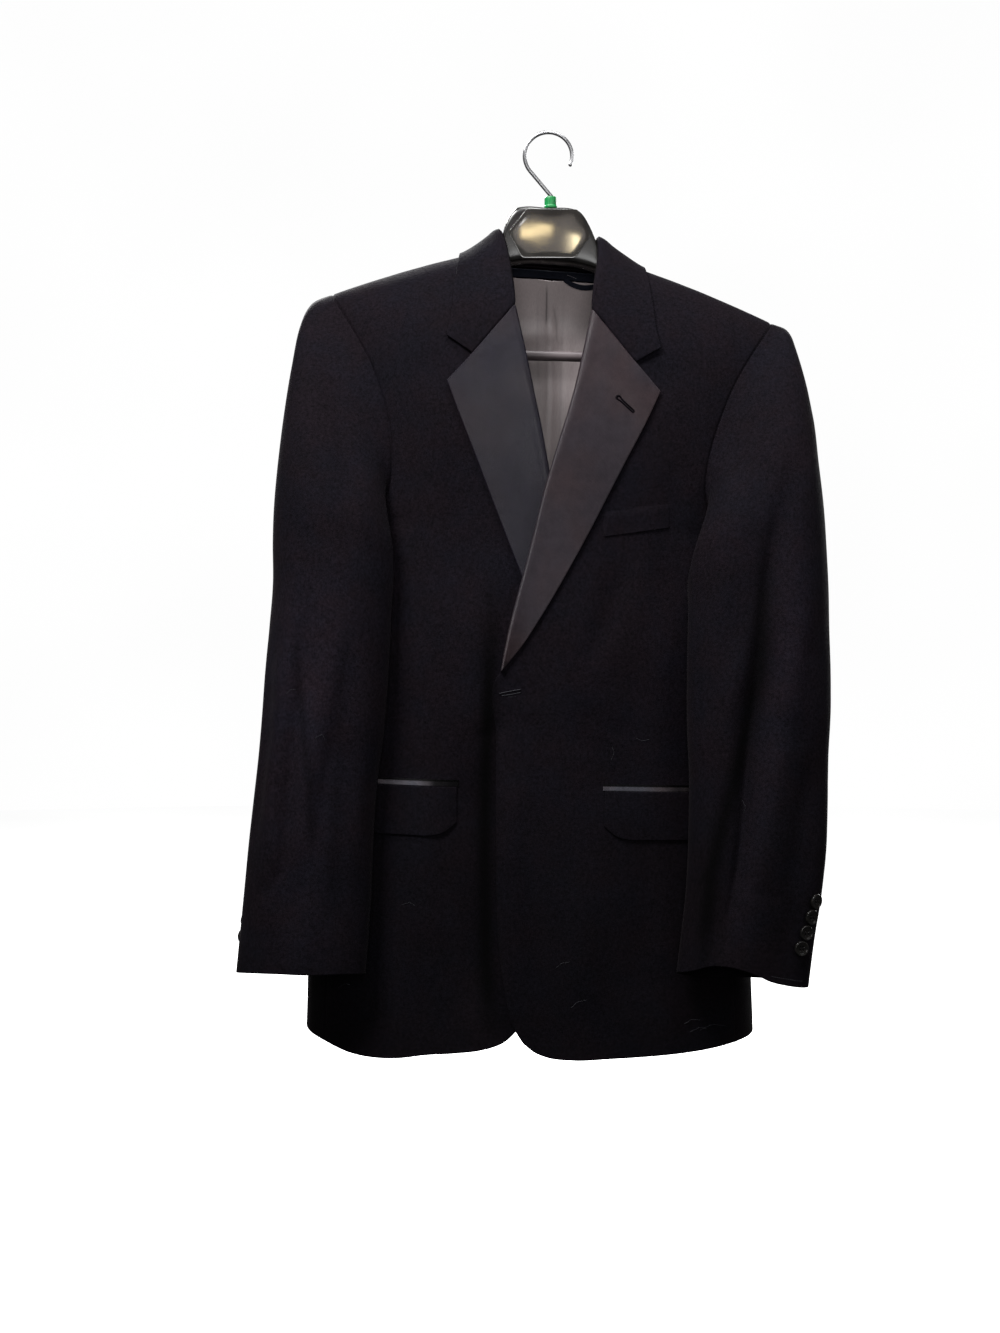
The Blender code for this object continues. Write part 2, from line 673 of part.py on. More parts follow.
def collar_end(side):
    """The collar's end, which lies along the gorge and then cuts back to its tip."""
    shares = [0.25, 0.5, 0.7, 0.85, 1.0]
    start = np.array([ROLL[0].x + ROLL_REACH, ROLL[0].z])
    notch, tip = np.array(NOTCH), np.array(COLLAR_TIP)
    spots = [start + (notch - start) * share / 0.7 for share in shares[:3]]
    spots += [notch + (tip - notch) * (share - 0.7) / 0.3 for share in shares[3:]]
    base, normal = collar_surface(*start, "front", side)
    away = unit(collar_surface(*spots[0], "front", side)[0] - base)
    outside, inside = bend(base, away, normal, COLLAR_WALL)
    for share, spot in zip(shares, spots):
        p, n = collar_surface(*spot, "front", side)
        inside.append(p + n * lay_height(share))
        outside.append(p + n * (lay_height(share) + COLLAR_WALL))
    return np.array(outside), np.array(inside), away


def collar_station(row, away, side):
    """One station of the collar: up the stand, over the roll and down the fall."""
    base, normal = collar_surface(row.base_x, row.base_z, row.face, side)
    edge, edge_normal = collar_surface(row.edge_x, row.edge_z, row.face, side)
    crest = np.array([row.crest_x, row.crest_y, row.crest_z], float)
    up = unit(np.array([-0.2 if row.face != "back" else -0.1, 0.0, 1.0]))
    peak = unit(-away * (1 - row.upright) + up * row.upright)
    outward = edge - crest
    fall = unit(outward - peak * np.dot(outward, peak))
    radius = LAY + COLLAR_WALL
    centre = crest - peak * radius
    rise = crest - base
    inward = unit(rise - normal * np.dot(rise, normal))
    foot = base + inward * (SEAM + COLLAR_WALL)
    turn = [peak * np.cos(a) + fall * np.sin(a) for a in np.radians([-60, 0, 60])]
    skin = [foot, (foot + centre + turn[0] * radius) / 2]
    skin += [centre + t * radius for t in turn]
    end = edge + edge_normal * radius
    middle = (row.base_x + row.edge_x) / 2, (row.base_z + row.edge_z) / 2
    hold, hold_normal = collar_surface(*middle, row.face, side)
    hold = hold + hold_normal * (radius + 1.0)
    start = skin[-1]
    for t in (0.2, 0.45, 0.68, 0.85, 1.0):
        skin.append(start * (1 - t) ** 2 + 2 * hold * t * (1 - t) + end * t * t)
    skin[5:] = stand_off(np.array(skin[5:]), radius, side)
    return np.array(skin)


def build_collar(name):
    halves = {}
    for side in (LEFT, RIGHT):
        outside, inside, away = collar_end(side)
        rows = [outside] + [collar_station(row, away, side) for row in COLLAR]
        halves[side] = np.array(rows), inside
    mirror = np.array([RIGHT, 1.0, 1.0])
    whole = np.concatenate([halves[RIGHT][0] * mirror, halves[LEFT][0][::-1][1:]])
    normals = grid_normals(whole)
    normals *= np.sign(normals[len(whole) // 2, -1, 1])
    inner = whole - normals * COLLAR_WALL
    inner[-1] = halves[LEFT][1]
    inner[0] = halves[RIGHT][1] * mirror
    sheet(name, hang(whole), hang(inner), "wool")


# Sleeves

def armhole(side, angle):
    """A point of the armhole edge: 0 degrees is the shoulder, 90 the front, 180 the underarm."""
    angle = np.asarray(angle, float) % 360
    front_part = trace([tuple(p) for p in ARM_FRONT], np.clip(angle / 170, 0, 1))
    back_part = trace([tuple(p) for p in ARM_BACK], np.clip((360 - angle) / 160, 0, 1))
    low_angle = np.interp(angle, [170, 200], [SEAM_FRONT, SEAM_BACK])
    front_angle = angle_at(front_part[:, 0], front_part[:, 1])
    back_angle = angle_at(back_part[:, 0], back_part[:, 1], "back")
    turn = np.where(angle < 170, front_angle, np.where(angle < 200, low_angle, back_angle))
    low_z = underarm_height(low_angle)
    z = np.where(angle < 170, front_part[:, 1], np.where(angle < 200, low_z, back_part[:, 1]))
    return body(side * turn, z), body_normal(side * turn, z)


def armhole_stops(start, end):
    """Angles round the armhole at the corners of its panels, going down from start to end."""
    share = (SIDE_ANGLES - SEAM_FRONT) / (SEAM_BACK - SEAM_FRONT)
    stops = np.concatenate([170 * np.array(ARM_FRONT_STEPS), 170 + 30 * share,
                            360 - 160 * np.array(ARM_BACK_STEPS)])
    stops = np.unique(np.round(np.concatenate([stops, stops - 360]), 6))
    return stops[(stops <= start + 0.01) & (stops >= end - 0.01)][::-1]


def cuff_height(side, angle):
    """Height of the cuff's edge round the ring, which starts at -60 degrees."""
    return between(CUFF[side], "z", (np.asarray(angle) + 60) % 360 - 60, key="angle")


def sleeve_ring(side, angle, z):
    """A point of the sleeve's outside, with its soft folds."""
    table = SLEEVE[side]
    turn = np.radians(angle)
    c, s = np.cos(turn), np.sin(turn)
    x = between(table, "middle", z) + between(table, "half_width", z) * np.sign(c) * np.abs(c) ** 0.9
    y = between(table, "y", z) - between(table, "half_depth", z) * np.sign(s) * np.abs(s) ** 0.9
    dent = 0.0
    for crease in CREASES[side]:
        share = np.clip((z - crease.top_z) / (crease.low_z - crease.top_z), 0, 1)
        middle = crease.top_angle + (crease.low_angle - crease.top_angle) * share
        window = smoothstep(0, 0.2, share) * smoothstep(1.15, 0.85, share)
        dent = dent + crease.depth * window * np.exp(-(((angle - middle) / crease.spread) ** 2))
    x = x - dent * c + between(FULLNESS[side], "out", z) * ((1 + c) / 2) ** 2
    return unhang(np.stack([side * x, y + dent * s, z], axis=-1))


def clear_body(points, side, clear):
    """Push points out of the body, away from a point inside its side."""
    x0, y0 = side * 120.0, -5.0
    clear = clear + 2.6 * np.exp(-(((points[..., 2] + 660) / 45) ** 2))
    out = points.copy()
    z = np.clip(out[..., 2], HEM, -130)
    near = z < -352
    for _ in range(60):
        x, y = out[..., 0], out[..., 1]
        width = between(BODY, "half_width", z) + clear
        climb = np.clip((z - UNDERARM) / (ridge_height(x) - UNDERARM), 0, 1)
        deep = np.where(y < 0, between(BODY, "front", z), between(BODY, "back", z))
        deep = deep * np.sqrt(np.maximum(1 - climb**CHEST_ROUND, 0)) + clear
        square = np.where((y < 0) & (x < 0), SQUARENESS[RIGHT], SQUARENESS[LEFT])
        inside = (np.abs(x) / width) ** square + (y / np.maximum(deep, 1)) ** 2 < 1
        push = unit(np.stack([x - x0, y - y0], axis=-1)) * 1.0
        out[..., 0] = np.where(inside & near, x + push[..., 0], x)
        out[..., 1] = np.where(inside & near, y + push[..., 1], y)
    return out


def sleeve_grid(side, upper):
    """Rows from the armhole to the cuff, of the top sleeve or the under sleeve."""
    if upper:
        cap = armhole_stops(CAP_FRONT, CAP_BACK)
    else:
        cap = armhole_stops(CAP_BACK, CAP_FRONT - 360)
    even = (cap - cap[0]) / (cap[-1] - cap[0])
    met = between(TURNS, "ring", cap, key="cap")
    met = (met - met[0]) / (met[-1] - met[0])
    start, normal = armhole(side, cap)
    ahead, _ = armhole(side, cap + 1.0)
    behind, _ = armhole(side, cap - 1.0)
    loop = unit(ahead - behind) * side
    onward = unit(np.cross(loop, normal))
    onward = np.where((onward[:, :1] * side) < -0.2, -onward, onward)
    lowness = ((1 - np.cos(np.radians(cap))) / 2)[:, None]
    drop = np.array([0.8 * side, -0.25, -0.55])
    tangent = unit(onward * (1 - lowness) + drop * lowness)

    def ring_angles(z):
        fronts = between(SLEEVE_SEAMS[side], "front", z)
        backs = between(SLEEVE_SEAMS[side], "back", z)
        share = met + (even - met) * smoothstep(-430, -640, z)
        if upper:
            return fronts + (backs - fronts) * share
        return backs + (fronts - 360 - backs) * share

    top_z = RING_TOP - RING_DIP * lowness[:, 0] ** 2
    ring = sleeve_ring(side, ring_angles(top_z), top_z)
    reach = np.linalg.norm(ring - start, axis=1)[:, None]
    on, up, lean = [a * (1 - lowness) + b * lowness for a, b in zip(CROWN[side], UNDER)]
    first = start + tangent * reach * on
    second = ring + reach * up * np.concatenate([-side * lean, 0 * lean, 1 + 0 * lean], axis=1)
    rows = []
    for t in (0, 0.1, 0.22, 0.36, 0.5, 0.66, 0.83):
        p = (start * (1 - t) ** 3 + 3 * first * t * (1 - t) ** 2
             + 3 * second * t * t * (1 - t) + ring * t**3)
        full = between(FULLNESS[side], "out", p[:, 2:]) * (1 - lowness) ** 2 * min(t / 0.36, 1)
        p = p + full * np.array([side, 0, 0])
        rows.append(clear_body(p, side, SLEEVE_CLEAR))
    rows[0] = start + tangent * (SEAM + 0.35)
    edge = cuff_height(side, ring_angles(np.full(len(cap), -810.0)))
    for step in np.linspace(0, 1, 11):
        z = top_z + (-810 - top_z) * step + (edge + 810) * step**2
        rows.append(clear_body(sleeve_ring(side, ring_angles(z), z), side, SLEEVE_CLEAR))
    grid = np.array(rows)
    normals = grid_normals(grid)
    flip = np.sign(np.sum(normals[-1] * (grid[-1] - grid[-1].mean(axis=0)), axis=-1).mean())
    return grid, normals * flip


def shift_seam(grid, amount):
    """Move a grid's first and last columns in along its rows, to leave the seam's gap."""
    grid = grid.copy()
    grid[:, 0] += unit(grid[:, 1] - grid[:, 0]) * amount
    grid[:, -1] += unit(grid[:, -2] - grid[:, -1]) * amount
    return grid


def build_sleeve(tag, side):
    upper, upper_normals = sleeve_grid(side, True)
    under, under_normals = sleeve_grid(side, False)
    front_normals = unit(upper_normals[:, 0] + under_normals[:, -1])
    back_normals = unit(upper_normals[:, -1] + under_normals[:, 0])
    upper_normals[:, 0], under_normals[:, -1] = front_normals, front_normals
    upper_normals[:, -1], under_normals[:, 0] = back_normals, back_normals
    half = SEAM / 2 + 0.02
    hung_sheet("top_sleeve_" + tag, shift_seam(upper, half), upper_normals, SLEEVE_WALL, "wool")
    hung_sheet("under_sleeve_" + tag, shift_seam(under, half), under_normals, SLEEVE_WALL, "wool")


# Pockets and trims

def trim(name, side, corners, inner_height, wall, counts, material, round_corner=0.0):
    """A flat piece that lies on a front, between four corners given as angle and height."""
    a, b, c, d = [np.array(p, float) for p in corners]
    u = np.linspace(0, 1, counts[0])[:, None]
    v = np.linspace(0, 1, counts[1])[:, None]
    bottom, top = a + (b - a) * u, d + (c - d) * u
    if round_corner:
        rise = np.array([0.0, round_corner])
        share = np.clip(1 - np.linspace(0, 1, counts[0]) * 6.0, 0, 1)[:, None]
        bottom = bottom + rise * share**2
    grid = patch(bottom, top, bottom[0] + (top[0] - bottom[0]) * v,
                 bottom[-1] + (top[-1] - bottom[-1]) * v)
    flat, normals = front(side, grid[..., 0], grid[..., 1])
    outer = flat + normals * (inner_height + wall)
    hung_sheet(name, outer, normals, wall, material)


def build_pocket(tag, side):
    top, low = FLAP["top"], FLAP["low"]
    inner_top, inner_low = angle_at(FLAP["inner"], top), angle_at(FLAP["inner"], low)
    outer = FLAP["outer_angle"]
    corners = [(inner_low, low), (outer, low), (outer, top), (inner_top, top)]
    trim("pocket_flap_" + tag, side, corners, 1.3, WALL, (12, 4), "wool", FLAP["corner"])
    jet_top = top + SEAM + JET_HEIGHT
    corners = [(inner_top - 0.5, top + SEAM), (outer, top + SEAM),
               (outer, jet_top), (inner_top - 0.5, jet_top)]
    trim("pocket_jet_" + tag, side, corners, 1.2, 1.2, (10, 2), "satin")


def build_welt(name):
    top, rise, height = WELT["inner_top"], WELT["rise"], WELT["height"]
    spots = [(WELT["inner"], top - height), (WELT["outer"], top - height + rise),
             (WELT["outer"], top + rise), (WELT["inner"], top)]
    corners = [(angle_at(x, z), z) for x, z in spots]
    trim(name, LEFT, corners, 1.0, WALL, (7, 3), "wool")


def build_back_lining(name):
    deep = WALL + 1.4
    x = np.linspace(0, 1, 9)
    low_angle = 180 - (180 - 116) * x
    top_x = np.array([0, 12, 30, 48, 60, 90, 118, 144, 165])
    top_z = np.array([-133.4, -133.6, -134.6, -135.0, -137, -152, -170, -192, -215])
    top = np.column_stack([angle_at(top_x, top_z, "back"), top_z])
    bottom = np.column_stack([low_angle, np.full(9, -862.0)])
    bottom[1:4, 0] = 180 - np.array([3.2, 8, 15])
    steps = np.concatenate([np.linspace(0, 0.92, 11), [0.97, 1.0]])
    middle = bottom[0] + (top[0] - bottom[0]) * steps[:, None]
    outer = trace([bottom[-1], (116, -420), (angle_at(168, -330, "back"), -330), top[-1]], steps)
    half = patch(bottom, top, middle, outer)
    grid = np.concatenate([half[:, ::-1] * [-1, 1] + [360, 0], half[:, 1:]], axis=1)
    p = body(grid[..., 0], grid[..., 1])
    n = body_normal(grid[..., 0], grid[..., 1])
    pleat = np.zeros(grid.shape[:2])
    pleat[:, 8] = 3.5
    pleat[:, 7] = 0.8
    pleat[:, 9] = 0.3
    outer = p - n * (deep + pleat)[..., None]
    hung_sheet(name, outer, n, LINING_WALL, "lining")


def build_neck_facing(name):
    x = np.linspace(-54, 54, 15)
    neck = np.interp(np.abs(x), *np.array(NECK_BACK[::-1]).T)
    rows = []
    for drop in (8.2, 4.5, 1.0):
        rows.append(np.column_stack([angle_at(x, neck - drop, "back"), neck - drop]))
    grid = np.array(rows)
    p = body(grid[..., 0], grid[..., 1])
    n = body_normal(grid[..., 0], grid[..., 1])
    hung_sheet(name, p - n * (WALL + 0.8), n, LINING_WALL, "ribbon")


def build_hang_loop(name):
    share = np.linspace(0, 1, 9)
    x = 14 + 38 * share
    z = -128.5 - 7.5 * np.sin(share * pi * 0.9) ** 0.8
    rows = []
    for drop in (5.0, 0.0):
        rows.append(np.column_stack([angle_at(x, z - drop, "back"), z - drop]))
    grid = np.array(rows)
    p = body(grid[..., 0], grid[..., 1])
    n = body_normal(grid[..., 0], grid[..., 1])
    hung_sheet(name, p - n * (WALL + 2 * LINING_WALL + 2.0), n, 0.8, "ribbon")


# Buttons

def build_button(name, centre, normal, radius, thick):
    """A turned button with a raised rim, seated on the cloth."""
    profile = [(0.0, 0.0), (radius * 0.82, 0.0), (radius, thick * 0.45), (radius * 0.93, thick),
               (radius * 0.72, thick), (radius * 0.6, thick * 0.75), (0.0, thick * 0.75)]
    mesh = bpy.data.meshes.new(name)
    points = [(r * MM, 0.0, h * MM) for r, h in reversed(profile)]
    mesh.from_pydata(points, [(i, i + 1) for i in range(len(points) - 1)], [])
    obj = bpy.data.objects.new(name, mesh)
    screw = obj.modifiers.new("turn", "SCREW")
    screw.steps = 14
    screw.render_steps = 14
    screw.use_merge_vertices = True
    screw.merge_threshold = 0.00001
    finish(obj, name, "button")
    obj.location = tuple(np.asarray(centre) * MM)
    z = unit(normal)
    x = unit(np.cross([0.0, 0.0, 1.0], z))
    y = np.cross(z, x)
    obj.rotation_euler = (acos(z[2]), 0.0, atan2(x[1], x[0]))
    return obj, y


def seat_on(obj, spot, normal, radius):
    """Rest a disc on an object's faces, the way its normal points."""
    tree = BVHTree.FromPolygons([v.co for v in obj.data.vertices],
                                [f.vertices for f in obj.data.polygons])
    x = unit(np.cross([0.0, 0.0, 1.0], normal))
    y = np.cross(normal, x)
    heights = []
    for turn in np.radians(range(0, 360, 15)):
        for reach in (0.0, radius * 0.4, radius * 0.7, radius * 0.9, radius):
            start = spot + normal * 8 + reach * (x * np.cos(turn) + y * np.sin(turn))
            hit = tree.ray_cast(Vector(start * MM), Vector(-normal), 0.016)[0]
            if hit is not None:
                heights.append(np.dot(np.array(hit) / MM - spot, normal))
    return spot + normal * (max(heights) + SEAM)


def build_buttons():
    x, z = FRONT_BUTTON["x"], FRONT_BUTTON["z"]
    spot, normal = front_at(RIGHT, -x, z)
    seat = hang(spot + normal * SEAM)
    build_button("front_button", seat, normal, FRONT_BUTTON["radius"], FRONT_BUTTON["thick"])
    for tag, side in SIDES.items():
        sleeve = bpy.data.objects["top_sleeve_" + tag]
        for k in range(BUTTON_COUNT):
            angle = LOWEST_BUTTON[side][0] + SLEEVE_BUTTON["turn"] * k
            height = LOWEST_BUTTON[side][1] + SLEEVE_BUTTON["pitch"] * k
            steps = np.array([(0, 0), (3, 0), (-3, 0), (0, 3), (0, -3)])
            spots = sleeve_ring(side, angle + steps[:, 0], height + steps[:, 1])
            spots = hang(clear_body(spots, side, SLEEVE_CLEAR))
            normal = unit(np.cross(spots[1] - spots[2], spots[3] - spots[4]))
            normal = normal * np.sign(normal[0] * side)
            seat = seat_on(sleeve, spots[0], normal, SLEEVE_BUTTON["radius"] * 0.9)
            name = "sleeve_button_%s_%d" % (tag, k + 1)
            build_button(name, seat, normal, SLEEVE_BUTTON["radius"], SLEEVE_BUTTON["thick"])


# Hanger

def build_hanger_body(name):
    """The neck piece and both arms, as one loft along X with two posts for the bar."""
    xs = np.array([-row.x for row in reversed(HANGER)] + [row.x for row in HANGER[1:]], float)
    bm = bmesh.new()
    rings = []
    around = 16
    for x in xs:
        top = between(HANGER, "top", abs(x), key="x")
        low = between(HANGER, "low", abs(x), key="x")
        deep = between(HANGER, "half_depth", abs(x), key="x")
        power = 0.35 if abs(x) < 48 else 0.75
        ring = []
        for k in range(around):
            turn = 2 * pi * k / around
            c, s = np.cos(turn), np.sin(turn)
            y = ridge_depth(x) + deep * np.sign(c) * abs(c) ** power
            z = (top + low) / 2 + (top - low) / 2 * np.sign(s) * abs(s) ** power
            ring.append(bm.verts.new(hang([x, y, z]) * MM))
        rings.append(ring)
    for first, second in zip(rings, rings[1:]):
        for k in range(around):
            m = (k + 1) % around
            bm.faces.new((first[k], first[m], second[m], second[k]))
    bm.faces.new(rings[0])
    bm.faces.new(rings[-1])
    bmesh.ops.recalc_face_normals(bm, faces=bm.faces)
    mesh = bpy.data.meshes.new(name)
    bm.to_mesh(mesh)
    bm.free()
    mesh.shade_smooth()
    mesh.set_sharp_from_angle(angle=np.radians(40))
    obj = finish(bpy.data.objects.new(name, mesh), name, "black_gloss")
    for side in (LEFT, RIGHT):
        height = POST["top"] - POST["low"]
        middle = hang([side * POST["x"], ridge_depth(POST["x"]), POST["low"] + height / 2])
        bpy.ops.mesh.primitive_cube_add(size=1.0, location=tuple(middle * MM))
        post = bpy.context.object
        post.name = "post_guide_left" if side == LEFT else "post_guide_right"
        post.scale = (POST["width"] * MM, POST["depth"] * MM, height * MM)
        bpy.ops.object.transform_apply(location=False, rotation=False, scale=True)
        post.hide_render = True
        post.display_type = "WIRE"
        join = obj.modifiers.new("post", "BOOLEAN")
        join.operation = "UNION"
        join.solver = "EXACT"
        join.object = post


def build_hanger_bar(name):
    middle = hang([0.0, ridge_depth(POST["x"]), BAR["z"]])
    bpy.ops.mesh.primitive_cylinder_add(
        vertices=16, radius=BAR["radius"] * MM, depth=2 * BAR["half_length"] * MM,
        location=tuple(middle * MM), rotation=(0.0, np.radians(90 + BAR["tilt"]), 0.0))
    bar = bpy.context.object
    bar.data.shade_smooth()
    bar.data.set_sharp_from_angle(angle=np.radians(40))
    finish(bar, name, "black_gloss")


def build_bushing(name):
    r, rim = BUSHING["radius"], BUSHING["rim"]
    top, low = BUSHING["top"], BUSHING["low"]
    profile = [(0.0, top), (r - 1.0, top), (r, top - 1.0), (r, low + 3), (r + rim, low + 2.5),
               (r + rim, low), (0.0, low)]
    mesh = bpy.data.meshes.new(name)
    mesh.from_pydata([(x * MM, 0.0, z * MM) for x, z in profile],
                     [(i, i + 1) for i in range(len(profile) - 1)], [])
    obj = bpy.data.objects.new(name, mesh)
    screw = obj.modifiers.new("turn", "SCREW")
    screw.steps = 18
    screw.render_steps = 18
    screw.use_merge_vertices = True
    screw.merge_threshold = 0.00001
    finish(obj, name, "green_plastic")
    obj.location = (BUSHING["x"] * MM, 0.0, 0.0)


def build_hook(name):
    """The wire: straight up from the bushing, then round over the top in an arc."""
    wire, radius = HOOK["wire"], HOOK["radius"]
    foot = np.array([BUSHING["x"], BUSHING["top"] + SEAM + 1.2])
    centre = np.array([0.0, wire - radius])
    arm = centre - foot
    distance = np.linalg.norm(arm)
    heading = atan2(arm[1], arm[0])
    slant = np.arcsin(radius / distance)
    run = np.sqrt(distance**2 - radius**2)
    direction = np.array([np.cos(heading + slant), np.sin(heading + slant)])
    touch = foot + direction * run
    start_angle = atan2(touch[1] - centre[1], touch[0] - centre[0])
    if start_angle < 0:
        start_angle += 2 * pi
    turns = np.linspace(start_angle, np.radians(HOOK["end_angle"]), 22)
    points = [foot + direction * run * share for share in (0.0, 0.35, 0.7)]
    points += [centre + radius * np.array([np.cos(t), np.sin(t)]) for t in turns]
    curve = bpy.data.curves.new(name, "CURVE")
    curve.dimensions = "3D"
    curve.bevel_depth = wire * MM
    curve.bevel_resolution = 2
    curve.use_fill_caps = True
    spline = curve.splines.new("POLY")
    spline.points.add(len(points) - 1)
    for spot, (x, z) in zip(spline.points, points):
        spot.co = (x * MM, 0.0, z * MM, 1.0)
    finish(bpy.data.objects.new(name, curve), name, "steel_wire")


def main():
    global collection
    for obj in list(bpy.data.objects):
        bpy.data.objects.remove(obj)
    collection = bpy.data.collections.new("tuxedo_jacket_on_hanger")
    bpy.context.scene.collection.children.link(collection)
    for name in LOOKS:
        materials[name] = make_material(name)
    for tag, side in SIDES.items():
        build_front("front_" + tag, side)
        build_side("side_" + tag, side)
        build_back("back_" + tag, side)
        build_lapel("lapel_" + tag, side)
        build_sleeve(tag, side)
        build_pocket(tag, side)
    build_collar("collar")
    build_welt("breast_welt")
    build_back_lining("back_lining")
    build_neck_facing("neck_facing")
    build_hang_loop("hang_loop")
    build_buttons()
    build_hanger_body("hanger_body")
    build_hanger_bar("hanger_bar")
    build_bushing("hanger_bushing")
    build_hook("hanger_hook")


main()
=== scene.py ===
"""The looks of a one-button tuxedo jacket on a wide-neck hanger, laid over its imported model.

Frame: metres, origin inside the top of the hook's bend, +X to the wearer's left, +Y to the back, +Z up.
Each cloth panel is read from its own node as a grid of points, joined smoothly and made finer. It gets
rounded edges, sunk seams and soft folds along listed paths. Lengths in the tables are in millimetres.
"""
import math
from collections import defaultdict

import bpy
import numpy as np
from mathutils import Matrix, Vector, bvhtree, kdtree


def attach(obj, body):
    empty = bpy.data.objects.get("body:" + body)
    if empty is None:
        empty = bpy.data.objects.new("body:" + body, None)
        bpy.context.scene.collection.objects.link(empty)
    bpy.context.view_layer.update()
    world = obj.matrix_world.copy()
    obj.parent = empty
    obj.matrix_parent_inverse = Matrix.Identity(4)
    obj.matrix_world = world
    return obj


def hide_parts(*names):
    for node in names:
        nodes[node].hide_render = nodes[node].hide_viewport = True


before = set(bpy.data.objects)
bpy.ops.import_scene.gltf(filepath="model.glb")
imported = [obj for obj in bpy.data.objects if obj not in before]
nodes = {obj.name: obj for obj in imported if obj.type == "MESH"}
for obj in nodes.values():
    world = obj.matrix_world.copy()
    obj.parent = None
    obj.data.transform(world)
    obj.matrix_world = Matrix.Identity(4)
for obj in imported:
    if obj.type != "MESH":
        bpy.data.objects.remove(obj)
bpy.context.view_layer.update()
MM = 0.001
SIGN = {"left": 1, "right": -1}

# Cloth kinds: wall, spacing of the fine grid, look, and which way the shown face of the left piece looks
# (none: it is the larger face, round a tube)
CLOTH = {
    "front": (2.0, 3.8, "wool", (0, -1, 0)),
    "side": (2.0, 4.0, "wool", (1, 0, 0)),
    "back": (2.0, 4.0, "wool", (0, 1, 0)),
    "lapel": (1.6, 3.0, "satin", (0, -1, 0)),
    "top_sleeve": (1.6, 4.0, "wool", None),
    "under_sleeve": (1.6, 4.2, "wool", None),
    "pocket_flap": (2.0, 2.6, "wool", (0, -1, 0)),
    "pocket_jet": (1.2, 2.2, "satin", (0, -1, 0)),
    "breast_welt": (2.0, 2.4, "wool", (0, -1, 0)),
    "collar": (1.8, 3.0, "wool", (0, 0, 1)),
    "back_lining": (1.0, 4.0, "lining", (0, -1, 0)),
    "neck_facing": (1.0, 2.0, "ribbon", (0, -1, 0)),
    "hang_loop": (1.0, 1.2, "ribbon", (0, -1, 0)),
}
# Trim that lies flat: how far its hidden face comes down, and how thick it then is
SETTLED = {"pocket_flap": (1.0, 1.5), "pocket_jet": (0.9, 0.9), "breast_welt": (0.8, 0.9)}
SEWN = ("front", "side", "back", "lapel", "top_sleeve", "under_sleeve", "collar")
NEAR = (0.0, 0.15, 0.4, 0.85, 1.6, 2.8)  # rows of the fine grid beside a border
RIM = 2.7  # no edge across a panel's rim is longer
# Seams: how close another panel's border is, by marks set this far apart along it
REACH, COLLAR_REACH, MARKS = 1.5, 4.2, 0.8
TUCK, ARMHOLE_TUCK = 0.2, 1.0  # how far an edge goes on under its neighbour
GROOVE = ((0.75, 0.9), (0.25, 3.0))  # depth and width of the two parts of a seam's groove
WELT_FOOT, WELT_ENDS, WELT_SINK = 7, 4, 1.15  # where the breast welt lies down into the front, and how deep


def kind_of(name):
    return name.removesuffix("_left").removesuffix("_right")


def side_of(name):
    return "left" if name.endswith("left") else "right"


def unit(v):
    return v / np.maximum(np.linalg.norm(v, axis=-1, keepdims=True), 1e-9)


def smooth(low, high, value):
    t = np.clip((np.asarray(value, float) - low) / (high - low), 0, 1)
    return t * t * (3 - 2 * t)


def run_along(path):
    """The length run along a path at each of its points."""
    return np.concatenate([[0], np.cumsum(np.linalg.norm(np.diff(path, axis=0), axis=1))])


def kd_tree(points):
    tree = kdtree.KDTree(len(points))
    for k, p in enumerate(points):
        tree.insert(p, k)
    tree.balance()
    return tree


# Reading a panel's grid back from its node

CORNERS = ((0, 1, 2), (1, 2, 0), (2, 0, 1))


def welded(node):
    """A node's points, each once, and its triangles."""
    mesh = node.data
    raw = np.empty(len(mesh.vertices) * 3)
    mesh.vertices.foreach_get("co", raw)
    raw = raw.reshape(-1, 3)
    _, first, index = np.unique(np.round(raw, 6), axis=0, return_index=True, return_inverse=True)
    index = index.reshape(-1)
    mesh.calc_loop_triangles()
    return raw[first], np.array([index[list(t.vertices)] for t in mesh.loop_triangles])


def joined(tris, keep):
    """Groups of the kept triangles that share edges, largest first."""
    edges = {t: [frozenset((tris[t][a], tris[t][b])) for a, b, _ in CORNERS] for t in keep}
    beside = defaultdict(set)
    for t in keep:
        for edge in edges[t]:
            beside[edge].add(t)
    groups, left = [], set(keep)
    while left:
        group = [left.pop()]
        for t in group:
            for edge in edges[t]:
                if len(beside[edge]) == 2:
                    group += beside[edge] & left
                    left -= beside[edge]
        groups.append(sorted(group))
    return sorted(groups, key=len, reverse=True)


def point_normals(points, tris, cross):
    normal = np.zeros_like(points)
    for k in range(3):
        np.add.at(normal, tris[:, k], cross)
    return normal / (np.linalg.norm(normal, axis=1, keepdims=True) + 1e-20)


def faces_without_rim(points, tris, cross, wall):
    """The groups left when a wall's narrow rim is taken away, by several ways of telling the rim."""
    normal = point_normals(points, tris, cross)
    rim, lengths = np.zeros(len(tris), bool), []
    for a, b, _ in CORNERS:
        step = points[tris[:, b]] - points[tris[:, a]]
        length = np.linalg.norm(step, axis=1)
        lengths.append(length)
        step = step / (length[:, None] + 1e-20)
        steep = [abs((step * normal[tris[:, k]]).sum(1)) > 0.5 for k in (a, b)]
        rim |= (length < RIM * MM) & steep[0] & steep[1]
    yield joined(tris, np.where(~rim)[0])
    for slack in (0.1, 0.25, 0.05, 0.18):
        yield joined(tris, np.where((abs(np.stack(lengths) - wall) > slack * wall).all(0))[0])


